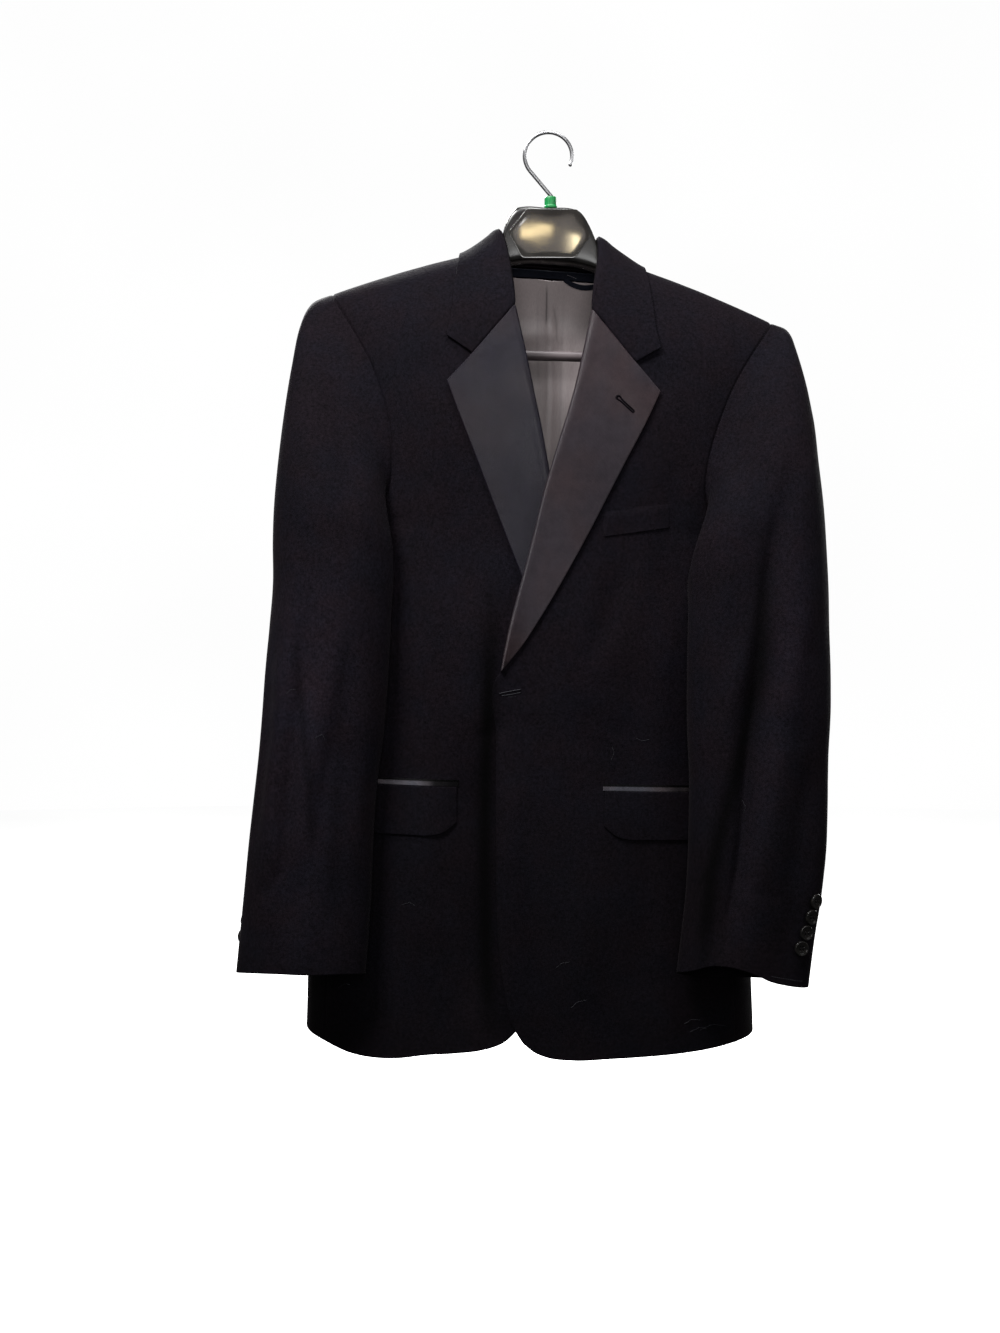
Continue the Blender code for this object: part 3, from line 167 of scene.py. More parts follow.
def recover(tris):
    """The vertex numbers of a triangulated grid, as rows and columns, or None."""
    third = defaultdict(set)
    for tri in tris:
        for a, b, c in CORNERS:
            third[frozenset((tri[a], tri[b]))].add(tri[c])
    follow = {tri[a]: tri[b] for tri in tris for a, b, _ in CORNERS
              if len(third[frozenset((tri[a], tri[b]))]) == 1}
    if not follow:
        return None
    start = next(iter(follow))
    loop = [start]
    while follow.get(loop[-1], start) != start:
        loop.append(follow[loop[-1]])
        if len(loop) > len(follow):
            return None
    count, both = len(set(tris.ravel())), len(loop) // 2 + 2  # rows times columns, rows plus columns
    for m in range(2, both - 1):
        n = both - m
        for k in range(len(loop) if m * n == count else 0):
            ring = loop[k:] + loop[:k]
            grid = np.full((m, n), -1)
            grid[0] = ring[:n]
            grid[:, -1] = ring[n - 1:n + m - 1]
            grid[-1, ::-1] = ring[n + m - 2:2 * n + m - 2]
            grid[:, 0] = ([ring[0]] + ring[:2 * n + m - 4:-1])[:m]
            if fill(grid, third) and len(np.unique(grid)) == count:
                return grid
    return None


def fill(grid, third):
    """Fills a grid whose border is known, cell by cell, and says whether every cell fits."""
    m, n = grid.shape
    for i in range(m - 1):
        for j in range(n - 1):
            a, b, c = grid[i, j], grid[i, j + 1], grid[i + 1, j]
            d = third.get(frozenset((b, c)), set())
            if a in d:
                d = d - {a}
            else:
                d = third.get(frozenset((a, b)), set()) & third.get(frozenset((a, c)), set())
                if i:
                    d = d - {grid[i - 1, j], grid[i - 1, j + 1]}
                if j:
                    d = d - {grid[i, j - 1], grid[i + 1, j - 1]}
            if len(d) != 1:
                return False
            d = d.pop()
            if grid[i + 1, j + 1] not in (-1, d):
                return False
            grid[i + 1, j + 1] = d
    return True


def partners(points, tris, cross, grid, wall):
    """The grid of the points right behind a recovered face, across the wall."""
    normal = point_normals(points, tris, cross)
    rest = np.setdiff1d(np.arange(len(points)), grid.ravel())
    if len(rest) != grid.size:
        return None
    spots = points[grid.ravel()] - normal[grid.ravel()] * wall
    near = np.linalg.norm(spots[:, None] - points[rest][None], axis=2).argmin(1)
    return rest[near].reshape(grid.shape) if len(set(near)) == grid.size else None


def cell_normals(grid):
    return np.cross(grid[:-1, 1:] - grid[:-1, :-1], grid[1:, :-1] - grid[:-1, :-1])


def panel_grids(name):
    """The shown face and the hidden face of a panel, as grids of points in the same order, from its foot up."""
    wall, _, _, facing = CLOTH[kind_of(name)]
    points, tris = welded(nodes[name])
    cross = np.cross(points[tris[:, 1]] - points[tris[:, 0]], points[tris[:, 2]] - points[tris[:, 0]])

    def weight(group):
        if facing is None:
            return np.linalg.norm(cross[group], axis=1).sum()
        return cross[group].sum(0) @ (np.array(facing) * (SIGN[side_of(name)] if facing[0] else 1))

    for groups in faces_without_rim(points, tris, cross, wall * MM):
        found = [recover(tris[g]) if len(g) > 7 else None for g in groups[:2]] + [None]
        if found[0] is None:
            continue
        if found[1] is None or found[1].size != found[0].size:
            groups = groups[:1]
            found[1] = partners(points, tris[groups[0]], cross[groups[0]], found[0], wall * MM)
        if found[1] is None:
            continue
        weights = [weight(g) for g in groups[:2]] + [0]
        first = int(weights[1] > weights[0])
        shown, other = points[found[first]], points[found[1 - first]]
        if np.ptp(shown[..., 2], axis=1).mean() > np.ptp(shown[..., 2], axis=0).mean():
            shown = shown.transpose(1, 0, 2)
        if shown[0, :, 2].mean() > shown[-1, :, 2].mean():
            shown = shown[::-1]
        group = groups[first % len(groups)]
        cells = shown[:-1, :-1].reshape(-1, 3)
        near = np.linalg.norm(points[tris[group]].mean(1)[:, None] - cells[None], axis=2).argmin(0)
        if (cell_normals(shown).reshape(-1, 3) * cross[group][near]).sum() < 0:
            shown = shown[:, ::-1]
        ways = [way for base in (other, other.transpose(1, 0, 2)) if base.shape == shown.shape
                for turned in (base, base[::-1]) for way in (turned, turned[:, ::-1])]
        return shown, min(ways, key=lambda way: np.linalg.norm(way - shown, axis=2).mean())
    raise RuntimeError("no grid in " + name)


# Making a grid finer

SHARP = math.cos(math.radians(50))  # a turn beyond this stays a corner


def spline(grid, at):
    """Points of smooth curves through a grid's rows, at fractional row numbers."""
    step = np.diff(grid, axis=0)
    span = np.linalg.norm(step, axis=-1, keepdims=True)
    way = unit(step)
    leave, arrive = np.empty_like(grid), np.empty_like(grid)
    leave[0], arrive[-1] = way[0], way[-1]
    if len(grid) > 2:
        middle = (way[:-1] * span[1:] + way[1:] * span[:-1]) / np.maximum(span[1:] + span[:-1], 1e-9)
        sharp = (way[:-1] * way[1:]).sum(-1, keepdims=True) < SHARP
        leave[1:-1] = np.where(sharp, way[1:], middle)
        arrive[1:-1] = np.where(sharp, way[:-1], middle)
        leave[0] = 1.5 * way[0] - 0.5 * arrive[1]
        arrive[-1] = 1.5 * way[-1] - 0.5 * leave[-2]
    i = np.clip(np.floor(at).astype(int), 0, len(grid) - 2)
    t = (at - i)[:, None, None]
    s = span[i]
    return (grid[i] * (1 + 2 * t) * (1 - t) ** 2 + grid[i + 1] * t * t * (3 - 2 * t)
            + s * leave[i] * t * (1 - t) ** 2 - s * arrive[i + 1] * t * t * (1 - t))


def stops(grid, spacing):
    """Fractional row numbers about `spacing` millimetres apart, closer at both borders."""
    along = np.concatenate([[0], np.cumsum(np.median(np.linalg.norm(np.diff(grid, axis=0), axis=-1), axis=1) / MM)])
    near = np.array([s for s in NEAR if s < 0.3 * along[-1]])
    inner = np.concatenate([np.linspace(a, b, max(1, round((b - a) / spacing)), endpoint=False)
                            for a, b in zip(along, along[1:])])
    clear = near[-1] + 0.5 * spacing
    inner = inner[(inner > clear) & (inner < along[-1] - clear)]
    return np.interp(np.concatenate([near, inner, along[-1] - near[::-1]]), along, np.arange(len(along)))


def refine(grid, at_rows, at_columns):
    tall = spline(grid, at_rows)
    return spline(tall.transpose(1, 0, 2), at_columns).transpose(1, 0, 2)


def arcs(grid):
    """The length run down each column at each of its points."""
    step = np.linalg.norm(np.diff(grid, axis=0), axis=-1)
    return np.concatenate([np.zeros((1, grid.shape[1])), np.cumsum(step, axis=0)])


# Folds: each is a soft trough (or, with a negative depth, a ridge) along a path

def trough(u, v, path, depth, width, ends=0.4, across=1.0):
    """How deep a fold is at (u, v): a soft valley along the path that dies away at both ends."""
    path, u = np.array(path, float) * (across, 1), u * across
    run = run_along(path)
    best, share = np.full(np.shape(u), 1e9), np.zeros(np.shape(u))
    for a, b, start, stop in zip(path, path[1:], run, run[1:]):
        d = b - a
        t = np.clip(((u - a[0]) * d[0] + (v - a[1]) * d[1]) / (d @ d), 0, 1)
        away = np.hypot(u - a[0] - t * d[0], v - a[1] - t * d[1])
        nearer = away < best
        best = np.where(nearer, away, best)
        share = np.where(nearer, (start + t * (stop - start)) / run[-1], share)
    fade = smooth(0, ends, share) * smooth(0, ends, 1 - share)
    return depth * np.exp(-((best / width) ** 2)) * fade


def folded(folds, u, v, across=1.0):
    return sum(trough(u, v, *fold, across=across) for fold in folds)


# Body folds, seen from the front: path in X and Z, depth, width, share of the length at each end that fades
FRONT_FOLDS = (
    ([(-64, -565), (-72, -640), (-70, -740), (-60, -850)], 6.0, 19, 0.35),
    ([(-112, -610), (-118, -730), (-110, -850)], -3.6, 17),
    ([(-30, -590), (-34, -700), (-26, -820)], -2.4, 11),
    ([(-28, -562), (-52, -584), (-84, -598)], 1.5, 9),
    ([(8, -564), (44, -600), (62, -680)], 2.6, 14),
    ([(14, -556), (50, -578), (92, -590)], 1.1, 10),
    ([(24, -690), (30, -780), (24, -862)], -3.0, 18),
    ([(86, -650), (92, -750), (80, -866)], 4.0, 20),
    ([(-98, -300), (-92, -400), (-84, -500)], 3.4, 17),
    ([(-52, -400), (-58, -470), (-70, -540)], -2.4, 15),
    ([(122, -310), (112, -400), (100, -520)], 3.6, 18),
    ([(70, -410), (52, -480), (24, -540)], 2.6, 13),
    ([(84, -176), (104, -230), (110, -290)], 2.2, 15),
    ([(-96, -170), (-112, -226), (-114, -280)], 2.2, 15),
)
BACK_FOLDS = (
    ([(-20, -220), (0, -330), (-14, -480)], -3.2, 27),
    ([(60, -200), (92, -280), (106, -380)], 4.6, 19),
    ([(-64, -200), (-104, -280), (-124, -380)], 4.2, 18),
    ([(40, -420), (56, -560), (38, -740)], 4.4, 22, 0.35),
    ([(-84, -400), (-98, -560), (-88, -740)], 5.0, 21, 0.35),
    ([(-36, -560), (-30, -700), (-44, -860)], -4.0, 21, 0.35),
    ([(88, -600), (92, -740), (76, -876)], -3.8, 19, 0.35),
    ([(-74, -500), (-20, -518), (38, -504)], 2.6, 11),
    ([(-58, -536), (0, -546), (50, -540)], -1.6, 9),
    ([(-94, -176), (-30, -190), (44, -184)], 2.4, 10),
)
LINING_FOLDS = (
    ([(2, -140), (3, -300), (2, -560)], 1.6, 2.2, 0.05),
    ([(-8, -140), (-7, -300), (-8, -520)], -1.2, 6, 0.1),
    ([(19, -150), (21, -230), (18, -330)], 1.2, 4, 0.3),
    ([(-40, -190), (-50, -300), (-46, -420)], 1.6, 9, 0.3),
    ([(52, -190), (60, -300), (54, -440)], 1.6, 9, 0.3),
)
# Sleeve folds: path in turn (degrees, 0 straight out, 90 to the back, -90 to the front) and Z
SLEEVE_FOLDS = {
    "left": (
        ([(-52, -290), (-64, -370), (-73, -461), (-80, -517), (-86, -649), (-96, -743), (-107, -806)],
         8.0, 8.0, 0.22),
        ([(-36, -400), (-50, -520), (-58, -650), (-66, -770)], -3.8, 10, 0.3),
        ([(-104, -470), (-110, -560), (-116, -680)], -3.0, 9),
        ([(-60, -480), (-38, -512), (-14, -524)], 1.1, 9),
        ([(-62, -560), (-40, -590), (-20, -600)], 1.0, 9),
        ([(-20, -560), (-24, -660), (-34, -760)], 3.0, 10, 0.35),
        ([(-100, -700), (-66, -730), (-28, -738)], 1.4, 7),
        ([(14, -270), (20, -360), (8, -470)], 3.2, 14),
        ([(62, -330), (74, -430), (62, -560)], 3.6, 14),
        ([(110, -440), (118, -560), (104, -700)], -3.0, 13),
        ([(30, -520), (64, -548), (100, -552)], 2.2, 9),
        ([(-30, -215), (-24, -280), (-34, -340)], -1.8, 10),
    ),
    "right": (
        ([(-46, -222), (-75, -262), (-96, -310), (-112, -390)], 3.4, 8, 0.3),
        ([(-80, -440), (-82, -600), (-84, -700), (-82, -770)], 4.6, 8, 0.28),
        ([(-126, -470), (-132, -600), (-128, -750)], 4.2, 8, 0.3),
        ([(-104, -500), (-107, -620), (-104, -750)], -3.4, 8, 0.35),
        ([(-56, -420), (-58, -560), (-58, -740)], -2.6, 9, 0.35),
        ([(-28, -470), (-32, -600), (-30, -740)], 3.0, 10, 0.35),
        ([(-66, -478), (-40, -512), (-16, -524)], 1.1, 9),
        ([(-66, -560), (-44, -590), (-22, -600)], 1.0, 9),
        ([(-94, -700), (-60, -728), (-24, -734)], 1.4, 7),
        ([(16, -270), (22, -360), (8, -450)], 3.2, 14),
        ([(64, -330), (76, -430), (62, -560)], 3.6, 14),
        ([(112, -440), (120, -560), (106, -700)], -3.0, 13),
        ([(30, -530), (64, -556), (100, -560)], 2.2, 9),
    ),
}
DEGREE = 0.75  # one degree round a sleeve counts as this many millimetres
BULGE = (-23, -563, 9.5, 0.8)  # the hidden button under the front: X, Z, radius, height
CALM = 22  # how far from an armhole seam the folds have come up
# The middle line of each sleeve before the lean: Z, distance out, Y
AXES = {
    "left": [(-826, 176.5, -98), (-770, 183.5, -97), (-677, 192.8, -92), (-555, 194, -84), (-405, 193, -72),
             (-240, 190, -30), (-160, 172, -10)],
    "right": [(-812, 232.5, -98), (-742, 226.8, -95), (-677, 222.5, -92), (-536, 209, -83), (-405, 202, -70),
              (-240, 196, -30), (-160, 176, -10)],
}
# How the jacket hangs: Z, lean to the wearer's left, tilt in degrees
HANG = np.array([
    (-900, -18.3, 0.4), (-874, -18.3, 0.6), (-634, -19, 1.6), (-370, -3, 2.5), (-254, 3, 3.0), (-180, 3, 3.7),
    (-140, 3.2, 4.0), (-122, 3.2, 4.4), (-100, 0.5, 4.4), (-80, -1, 2.6), (0, -2, 2.3)])


def sleeve_axis(z, side):
    """X and Y of a sleeve's middle line at a height, in millimetres."""
    heights, out, y = np.transpose(AXES[side])
    return np.interp(z, heights, out) * SIGN[side] + np.interp(z, *HANG.T[:2]), np.interp(z, heights, y)


def move_of(name, p):
    """How far the folds move each point of a panel. They calm down towards the armhole seams."""
    kind, side = kind_of(name), side_of(name)
    x, y, z = np.moveaxis(p, -1, 0) / MM
    move = np.zeros_like(p)
    if "sleeve" in kind:
        ax, ay = sleeve_axis(z, side)
        turn = np.degrees(np.arctan2(y - ay, (x - ax) * SIGN[side]))
        deep = folded(SLEEVE_FOLDS[side], turn, z, DEGREE) / np.maximum(np.hypot(x - ax, y - ay), 1)
        move[..., 0], move[..., 1] = -deep * (x - ax), -deep * (y - ay)
    elif kind == "back_lining":
        back, own = folded(BACK_FOLDS, x, z), folded(LINING_FOLDS, x, z)
        move[..., 1] = -np.maximum(back, 0) * smooth(-140, -160, z) - np.maximum(own, 0) - 0.3
    elif kind not in ("neck_facing", "hang_loop", "collar"):
        ahead = smooth(4, 34, -y) * smooth(-205, -260, z)
        behind = smooth(4, 30, y) * smooth(-150, -185, z)
        bulge = BULGE[3] * np.exp(-((np.hypot(x - BULGE[0], z - BULGE[1]) / BULGE[2]) ** 4))
        move[..., 1] = (folded(FRONT_FOLDS, x, z) - bulge) * ahead - folded(BACK_FOLDS, x, z) * behind
    if "sleeve" in kind or kind in ("front", "side", "back"):
        far = np.array([armholes.find(q)[2] for q in p.reshape(-1, 3)]).reshape(x.shape) / MM
        move *= 1 - np.exp(-((far / CALM) ** 2))[..., None]
    return move * MM


# Shells

collection = bpy.context.scene.collection


def mesh_object(name, points, quads, uv=None):
    mesh = bpy.data.meshes.new(name)
    points = np.asarray(points, np.float32)
    quads = np.asarray(quads, np.int32)
    mesh.vertices.add(len(points))
    mesh.vertices.foreach_set("co", points.ravel())
    mesh.loops.add(quads.size)
    mesh.loops.foreach_set("vertex_index", quads.ravel())
    mesh.polygons.add(len(quads))
    mesh.polygons.foreach_set("loop_start", np.arange(0, quads.size, quads.shape[1], dtype=np.int32))
    if uv is not None:
        layer = mesh.uv_layers.new(name="UVMap")
        layer.data.foreach_set("uv", np.asarray(uv, np.float32)[quads.ravel()].ravel())
    mesh.update(calc_edges=True)
    mesh.validate()
    mesh.shade_smooth()
    obj = bpy.data.objects.new(name, mesh)
    collection.objects.link(obj)
    return obj


def edge_drop(s, radius):
    """How far a rounded edge has dropped at a distance s from it."""
    inside = np.clip(radius - s, 0, radius)
    return 0.85 * (radius - np.sqrt(np.maximum(radius**2 - inside**2, 0)))


def borders_of(grid, inward=0):
    """The four border lines of a grid, or the lines some rows inward of them."""
    return grid[inward], grid[-1 - inward], grid[:, inward], grid[:, -1 - inward]


def seam_trees(grids):
    """For each sewn panel, a tree of the borders of all the others, and whose each mark in it is."""
    sewn = [name for name in grids if kind_of(name) in SEWN]
    marks = []
    for name in sewn:
        for line in borders_of(grids[name]):
            for a, b in zip(line, line[1:]):
                count = max(1, int(np.linalg.norm(b - a) / (MARKS * MM)))
                marks += [(a + (b - a) * t / count, name) for t in range(count)]
    trees = {}
    for name in sewn:
        others = [mark for mark in marks if mark[1] != name]
        trees[name] = (kd_tree([p for p, _ in others]), [owner for _, owner in others])
    return trees


def sewn_borders(name, face):
    """For each border: where it is sewn, how deep its seam sinks, and how far it goes on under its neighbour."""
    kind = kind_of(name)
    reach = COLLAR_REACH if kind == "collar" else REACH
    borders = []
    for line in borders_of(face):
        marks = np.tile([0.0, 0.0, TUCK], (len(line), 1))
        for k, p in enumerate(line if name in trees else ()):
            _, index, far = trees[name][0].find(p)
            if far < reach * MM:
                partner = kind_of(trees[name][1][index])
                rolled = {kind, partner} == {"lapel", "front"}
                at_armhole = ("sleeve" in kind) != ("sleeve" in partner)
                marks[k] = 1, 0 if rolled else 1, ARMHOLE_TUCK if at_armhole else TUCK
        for _ in range(2):
            wide = np.pad(marks, ((1, 1), (0, 0)), mode="edge")
            marks = 0.25 * wide[:-2] + 0.5 * wide[1:-1] + 0.25 * wide[2:]
        borders.append(marks.T)
    return borders


def meet(name, grid, seams, sewn):
    """Carries each sewn border to the middle of its seam and on under its neighbour, so that no light passes."""
    half, most = (1.0, 4.0) if name == "collar" else (0.5, 2.0)
    pulls = []
    for line, inner, (share, _, tuck) in zip(borders_of(grid), borders_of(grid, 2), sewn):
        pull = tuck[:, None] * MM * unit(line - inner)
        if name in seams:
            gap = np.array([seams[name][0].find(p)[0] for p in line]) - line
            size = np.linalg.norm(gap, axis=-1, keepdims=True)
            pull = pull + half * gap * np.clip(most * MM / np.maximum(size, 1e-9), 0, 1)
        pulls.append(pull * share[:, None])
    for line, pull in zip(borders_of(grid), pulls):
        line += pull


def build_panel(name, face, back):
    """A closed thin shell: the shown face, the hidden face and the rim between them."""
    kind = kind_of(name)
    wall = CLOTH[kind][0]
    if kind in SETTLED:
        sink, wall = SETTLED[kind]
        away = unit(back - face)
        back = back + away * sink * MM
        face = back - away * wall * MM
    sewn = sewn_borders(name, face)
    down, side = arcs(face) / MM, arcs(face.transpose(1, 0, 2)).T / MM
    outer_drop = inner_drop = 0
    for k, far in enumerate((down, down[-1] - down, side, side[:, -1:] - side)):
        flag, depth = sewn[k][:2] if k < 2 else sewn[k][:2, :, None]
        free = (1 - flag) * edge_drop(far, 0.5 * wall)
        seam = depth * sum(deep * np.exp(-((far / wide) ** 2)) for deep, wide in GROOVE)
        outer_drop = np.maximum(outer_drop, free + seam)
        inner_drop = np.maximum(inner_drop, free)
    through = unit(back - face)
    meet(name, face, trees, sewn)
    meet(name, back, inner_trees, sewn)
    if kind == "breast_welt":
        ends = np.minimum(side, side[:, -1:] - side)
        flat = np.maximum(smooth(WELT_FOOT, 0, down[-1] - down), smooth(WELT_ENDS, 0, ends))[..., None]
        face, back = (grid + through * flat * WELT_SINK * MM for grid in (face, back))
    move = move_of(name, face)
    outer = face + through * outer_drop[..., None] * MM + move
    inner = back - through * inner_drop[..., None] * MM + move
    m, n = down.shape
    number = np.arange(m * n).reshape(m, n)
    front = np.stack([number[:-1, :-1], number[:-1, 1:], number[1:, 1:], number[1:, :-1]], -1).reshape(-1, 4)
    rear = front[:, ::-1] + m * n
    ring = np.concatenate([number[0, :-1], number[:-1, -1], number[-1, :0:-1], number[:0:-1, 0]])
    follow = np.roll(ring, -1)
    rim = np.stack([follow, ring, ring + m * n, follow + m * n], -1)
    uv = np.stack([side - side[:, n // 2, None], down - down[m // 2]], -1).reshape(-1, 2) * MM
    piece = mesh_object("cloth_" + name, np.concatenate([outer.reshape(-1, 3), inner.reshape(-1, 3)]),
                        np.concatenate([front, rear, rim]), np.concatenate([uv, uv]))
    area = sum(np.linalg.norm(cell_normals(g), axis=-1).sum() for g in (face, face[::-1, ::-1])) / 2
    return {"piece": piece, "area": area, "width": side[:, -1].max() * MM, "length": down[-1].max() * MM}


faces, backs = {}, {}
for name in sorted(nodes):
    if kind_of(name) in CLOTH:
        face, back = panel_grids(name)
        spacing = CLOTH[kind_of(name)][1] * 1
        at = stops(face, spacing), stops(face.transpose(1, 0, 2), spacing)
        faces[name], backs[name] = refine(face, *at), refine(back, *at)
armholes = kd_tree(np.concatenate([face[-1] for name, face in faces.items() if "sleeve" in name]))
trees, inner_trees = seam_trees(faces), seam_trees(backs)
made = {name: build_panel(name, faces[name], backs[name]) for name in faces}


# Materials

looks = {}


class Look:
    """One procedural material, made node by node."""

    def __init__(self, name, **shader):
        looks[name] = bpy.data.materials.new(name)
        looks[name].use_nodes = True
        self.tree = looks[name].node_tree
        self.shader = self.tree.nodes["Principled BSDF"]
        for key, value in shader.items():
            self.shader.inputs[key.replace("_", " ")].default_value = value
        self.place = self.tree.nodes.new("ShaderNodeTexCoord").outputs
        self.axes = self.add("SeparateXYZ", Vector=self.place["Object"]).outputs

    def put(self, value, socket):
        if isinstance(value, bpy.types.NodeSocket):
            self.tree.links.new(value, socket)
        else:
            socket.default_value = value

    def add(self, kind, **values):
        """A node with its properties, plain inputs and links."""
        node = self.tree.nodes.new("ShaderNode" + kind)
        for key, value in values.items():
            if hasattr(node, key):
                setattr(node, key, value)
            else:
                self.put(value, node.inputs[key.replace("_", " ")])
        return node

    def noise(self, scale, detail=3.0, rough=0.5, stretch=None):
        spot = self.place["Object"]
        if stretch:
            spot = self.add("Mapping", Vector=spot, Scale=stretch).outputs[0]
        return self.add("TexNoise", Vector=spot, Scale=scale, Detail=detail, Roughness=rough).outputs["Fac"]

    def wave(self, scale, direction, distortion):
        return self.add("TexWave", Vector=self.place["UV"], Scale=scale, Distortion=distortion,
                        bands_direction=direction).outputs["Fac"]

    def ramp(self, source, marks):
        node = self.add("ValToRGB", Fac=source)
        elements = node.color_ramp.elements
        elements[0].position, elements[1].position = marks[0][0], marks[-1][0]
        for place, _ in marks[1:-1]:
            elements.new(place)
        for element, (_, colour) in zip(elements, marks):
            element.color = (colour,) * 3 + (1,) if isinstance(colour, (int, float)) else (*colour, 1)
        return node.outputs["Color"]

    def math(self, operation, *values):
        node = self.add("Math", operation=operation)
        for value, socket in zip(values, node.inputs):
            self.put(value, socket)
        return node.outputs[0]

    def blend(self, first, *rest):
        """A sum of sources, each with its share."""
        part = self.math("MULTIPLY", *first)
        return self.math("ADD", part, self.blend(*rest)) if rest else part

    def scaled(self, source, base, span):
        return self.math("DIVIDE", self.math("SUBTRACT", source, base), span)

    def times(self, colour, share):
        node = self.add("Mix", data_type="RGBA", blend_type="MULTIPLY")
        for value, socket in ((1.0, 0), (colour, 6), (share, 7)):
            self.put(value, node.inputs[socket])
        return node.outputs[2]

    def band(self, line, width, depth, front=False):
        """One minus a soft stripe along a line of (X, Z) points: painted shade, or painted light where the depth is
        negative.
        """
        xs, zs = [a for a, _ in line], [b for _, b in line]
        low, span, left, room = min(zs), max(zs) - min(zs), min(xs), max(max(xs) - min(xs), 1)
        t = self.scaled(self.axes[2], low * MM, span * MM)
        spots = sorted(((b - low) / span, (a - left) / room) for a, b in line)
        centre = self.blend((self.ramp(t, spots), room * MM), (1.0, left * MM))
        off = self.scaled(self.axes[0], centre, width * MM)
        bell = self.math("POWER", math.e, self.math("MULTIPLY", self.math("MULTIPLY", off, off), -1.0))
        fade = self.ramp(t, [(0.0, 0.0), (0.12, 1.0), (0.75, 1.0), (1.0, 0.0)])
        strength = self.math("MULTIPLY", self.math("MULTIPLY", bell, fade), depth)
        if front:
            ahead = self.ramp(self.scaled(self.axes[1], 0.0, -0.1), [(0.2, 0.0), (0.4, 1.0)])
            strength = self.math("MULTIPLY", strength, ahead)
        return self.math("SUBTRACT", 1.0, strength)

    def join(self, source, target):
        self.tree.links.new(source, self.shader.inputs[target])

    def colour(self, colour, *shares):
        """The base colour, times each share in turn."""
        for share in shares:
            colour = self.times(colour, share)
        self.join(colour, "Base Color")

    def rough(self, source, share, base):
        self.join(self.blend((source, share), (1.0, base)), "Roughness")

    def relief(self, *bumps):
        """Bumps laid over one another: height, distance and strength of each."""
        under = {}
        for height, distance, strength in bumps:
            node = self.add("Bump", Height=height, Distance=distance, Strength=strength, **under)
            under = {"Normal": node.outputs["Normal"]}
        self.join(under["Normal"], "Normal")


# Painted shade and painted light on the wool: soft stripes, dark along the sleeve troughs and as a shadow beside
# the front edge, lighter where light falls on the sleeves; line in X and Z, width, depth (negative is lighter), and
# whether only the fronts have it
WOOL_PAINTED_SHADING = (
    ([(194, -386), (194, -462), (191, -529), (171, -615), (145, -715), (137, -806)], 8.5, 0.72),
    ([(222, -386), (218, -529), (199, -615), (180, -715), (171, -806)], 15, -0.45),
    ([(-54, -430), (-58, -540), (-61, -620), (-62, -700), (-61, -800), (-56, -872)], 8.5, 0.85, True),
    ([(-214, -400), (-222, -560), (-228, -680), (-234, -826)], 42, -0.85),
    ([(-236, -470), (-232, -540), (-222, -620), (-219, -700)], 4.5, 0.35),
    ([(-188, -470), (-196, -600), (-202, -760)], 6, 0.25),
)
# Painted shade on the lining: dark lines along its middle pleat and its creases; line in X and Z, width, depth
LINING_PAINTED_SHADE = (
    ([(-0.6, -138), (-0.4, -150), (-0.8, -178)], 0.9, 0.55),
    ([(1.2, -136), (1.6, -170), (0.6, -300)], 3.2, 0.16),
    ([(6, -158), (9.5, -176), (10, -196)], 1.0, 0.28),
    ([(17, -140), (15, -200), (13, -330)], 1.6, 0.16),
    ([(-9, -142), (-10, -190), (-8, -240)], 1.4, 0.14),
)


def make_wool():
    look = Look("wool", Roughness=0.9, Specular_IOR_Level=0.015, Sheen_Weight=0.004, Sheen_Roughness=0.4,
                Sheen_Tint=(0.8, 0.7, 0.75, 1))
    cloudy, yarn = look.noise(26, 3.0, 0.55), look.noise(1500, 2.0)
    mix = look.blend((cloudy, 0.10), (yarn, 0.28), (look.noise(360, 4.0, 0.8), 0.62))
    # Besides random tone, the colour carries painted shade that darkens it towards the bottom, and the stripes of
    # painted shade and light
    look.colour(look.ramp(mix, [(0.34, (0.0003, 0.00024, 0.00036)), (0.66, (0.0032, 0.0026, 0.0036))]),
                look.ramp(look.noise(17, 5.0, 0.7), [(0.38, (0.92, 0.98, 1.11)), (0.62, (1.14, 0.97, 1.0))]),
                look.ramp(look.scaled(look.axes[2], 0.0, -1.0), [(0.56, 1.05), (0.70, 0.68), (0.85, 0.56)]),
                *(look.band(*band) for band in WOOL_PAINTED_SHADING))
    look.rough(cloudy, 0.12, 0.8)
    look.relief((look.wave(900, "DIAGONAL", 1.0), 0.00012, 0.6), (yarn, 0.0003, 0.35), (cloudy, 0.0016, 0.5))


def make_satin(name, low, high, shine, across=None):
    look = Look(name, Roughness=0.42, Specular_IOR_Level=shine, Anisotropic=0.4, Anisotropic_Rotation=0.25,
                Sheen_Weight=0.004, Sheen_Roughness=0.4)
    rib, cloudy = look.wave(330, "Y", 0.3), look.noise(30, 2.0)
    mix = look.blend((rib, 0.25), (look.noise(120, 2.0), 0.25), (look.noise(360, 4.0, 0.8), 0.5))
    shares = [look.ramp(look.noise(17, 3.0), [(0.4, (0.92, 0.98, 1.1)), (0.62, (1.12, 0.98, 0.98))])]
    if across:  # painted highlight and painted shade along the pocket jets from side to side, and painted shadow down from their sloping top line
        x, z = look.axes[0], look.axes[2]
        below = look.scaled(look.blend((x, 0.0284), (z, 1.0)), -0.6322, -0.0063)
        shares += [look.ramp(look.scaled(x, -0.17, 0.32), across),
                   look.ramp(below, [(0.0, 0.04), (0.26, 0.06), (0.38, 1.0), (1.0, 1.0)])]
    look.colour(look.ramp(mix, [(0.34, low), (0.66, high)]), *shares)
    look.rough(cloudy, 0.2, 0.34)
    look.relief((rib, 0.0002, 0.8), (cloudy, 0.0012, 0.5))


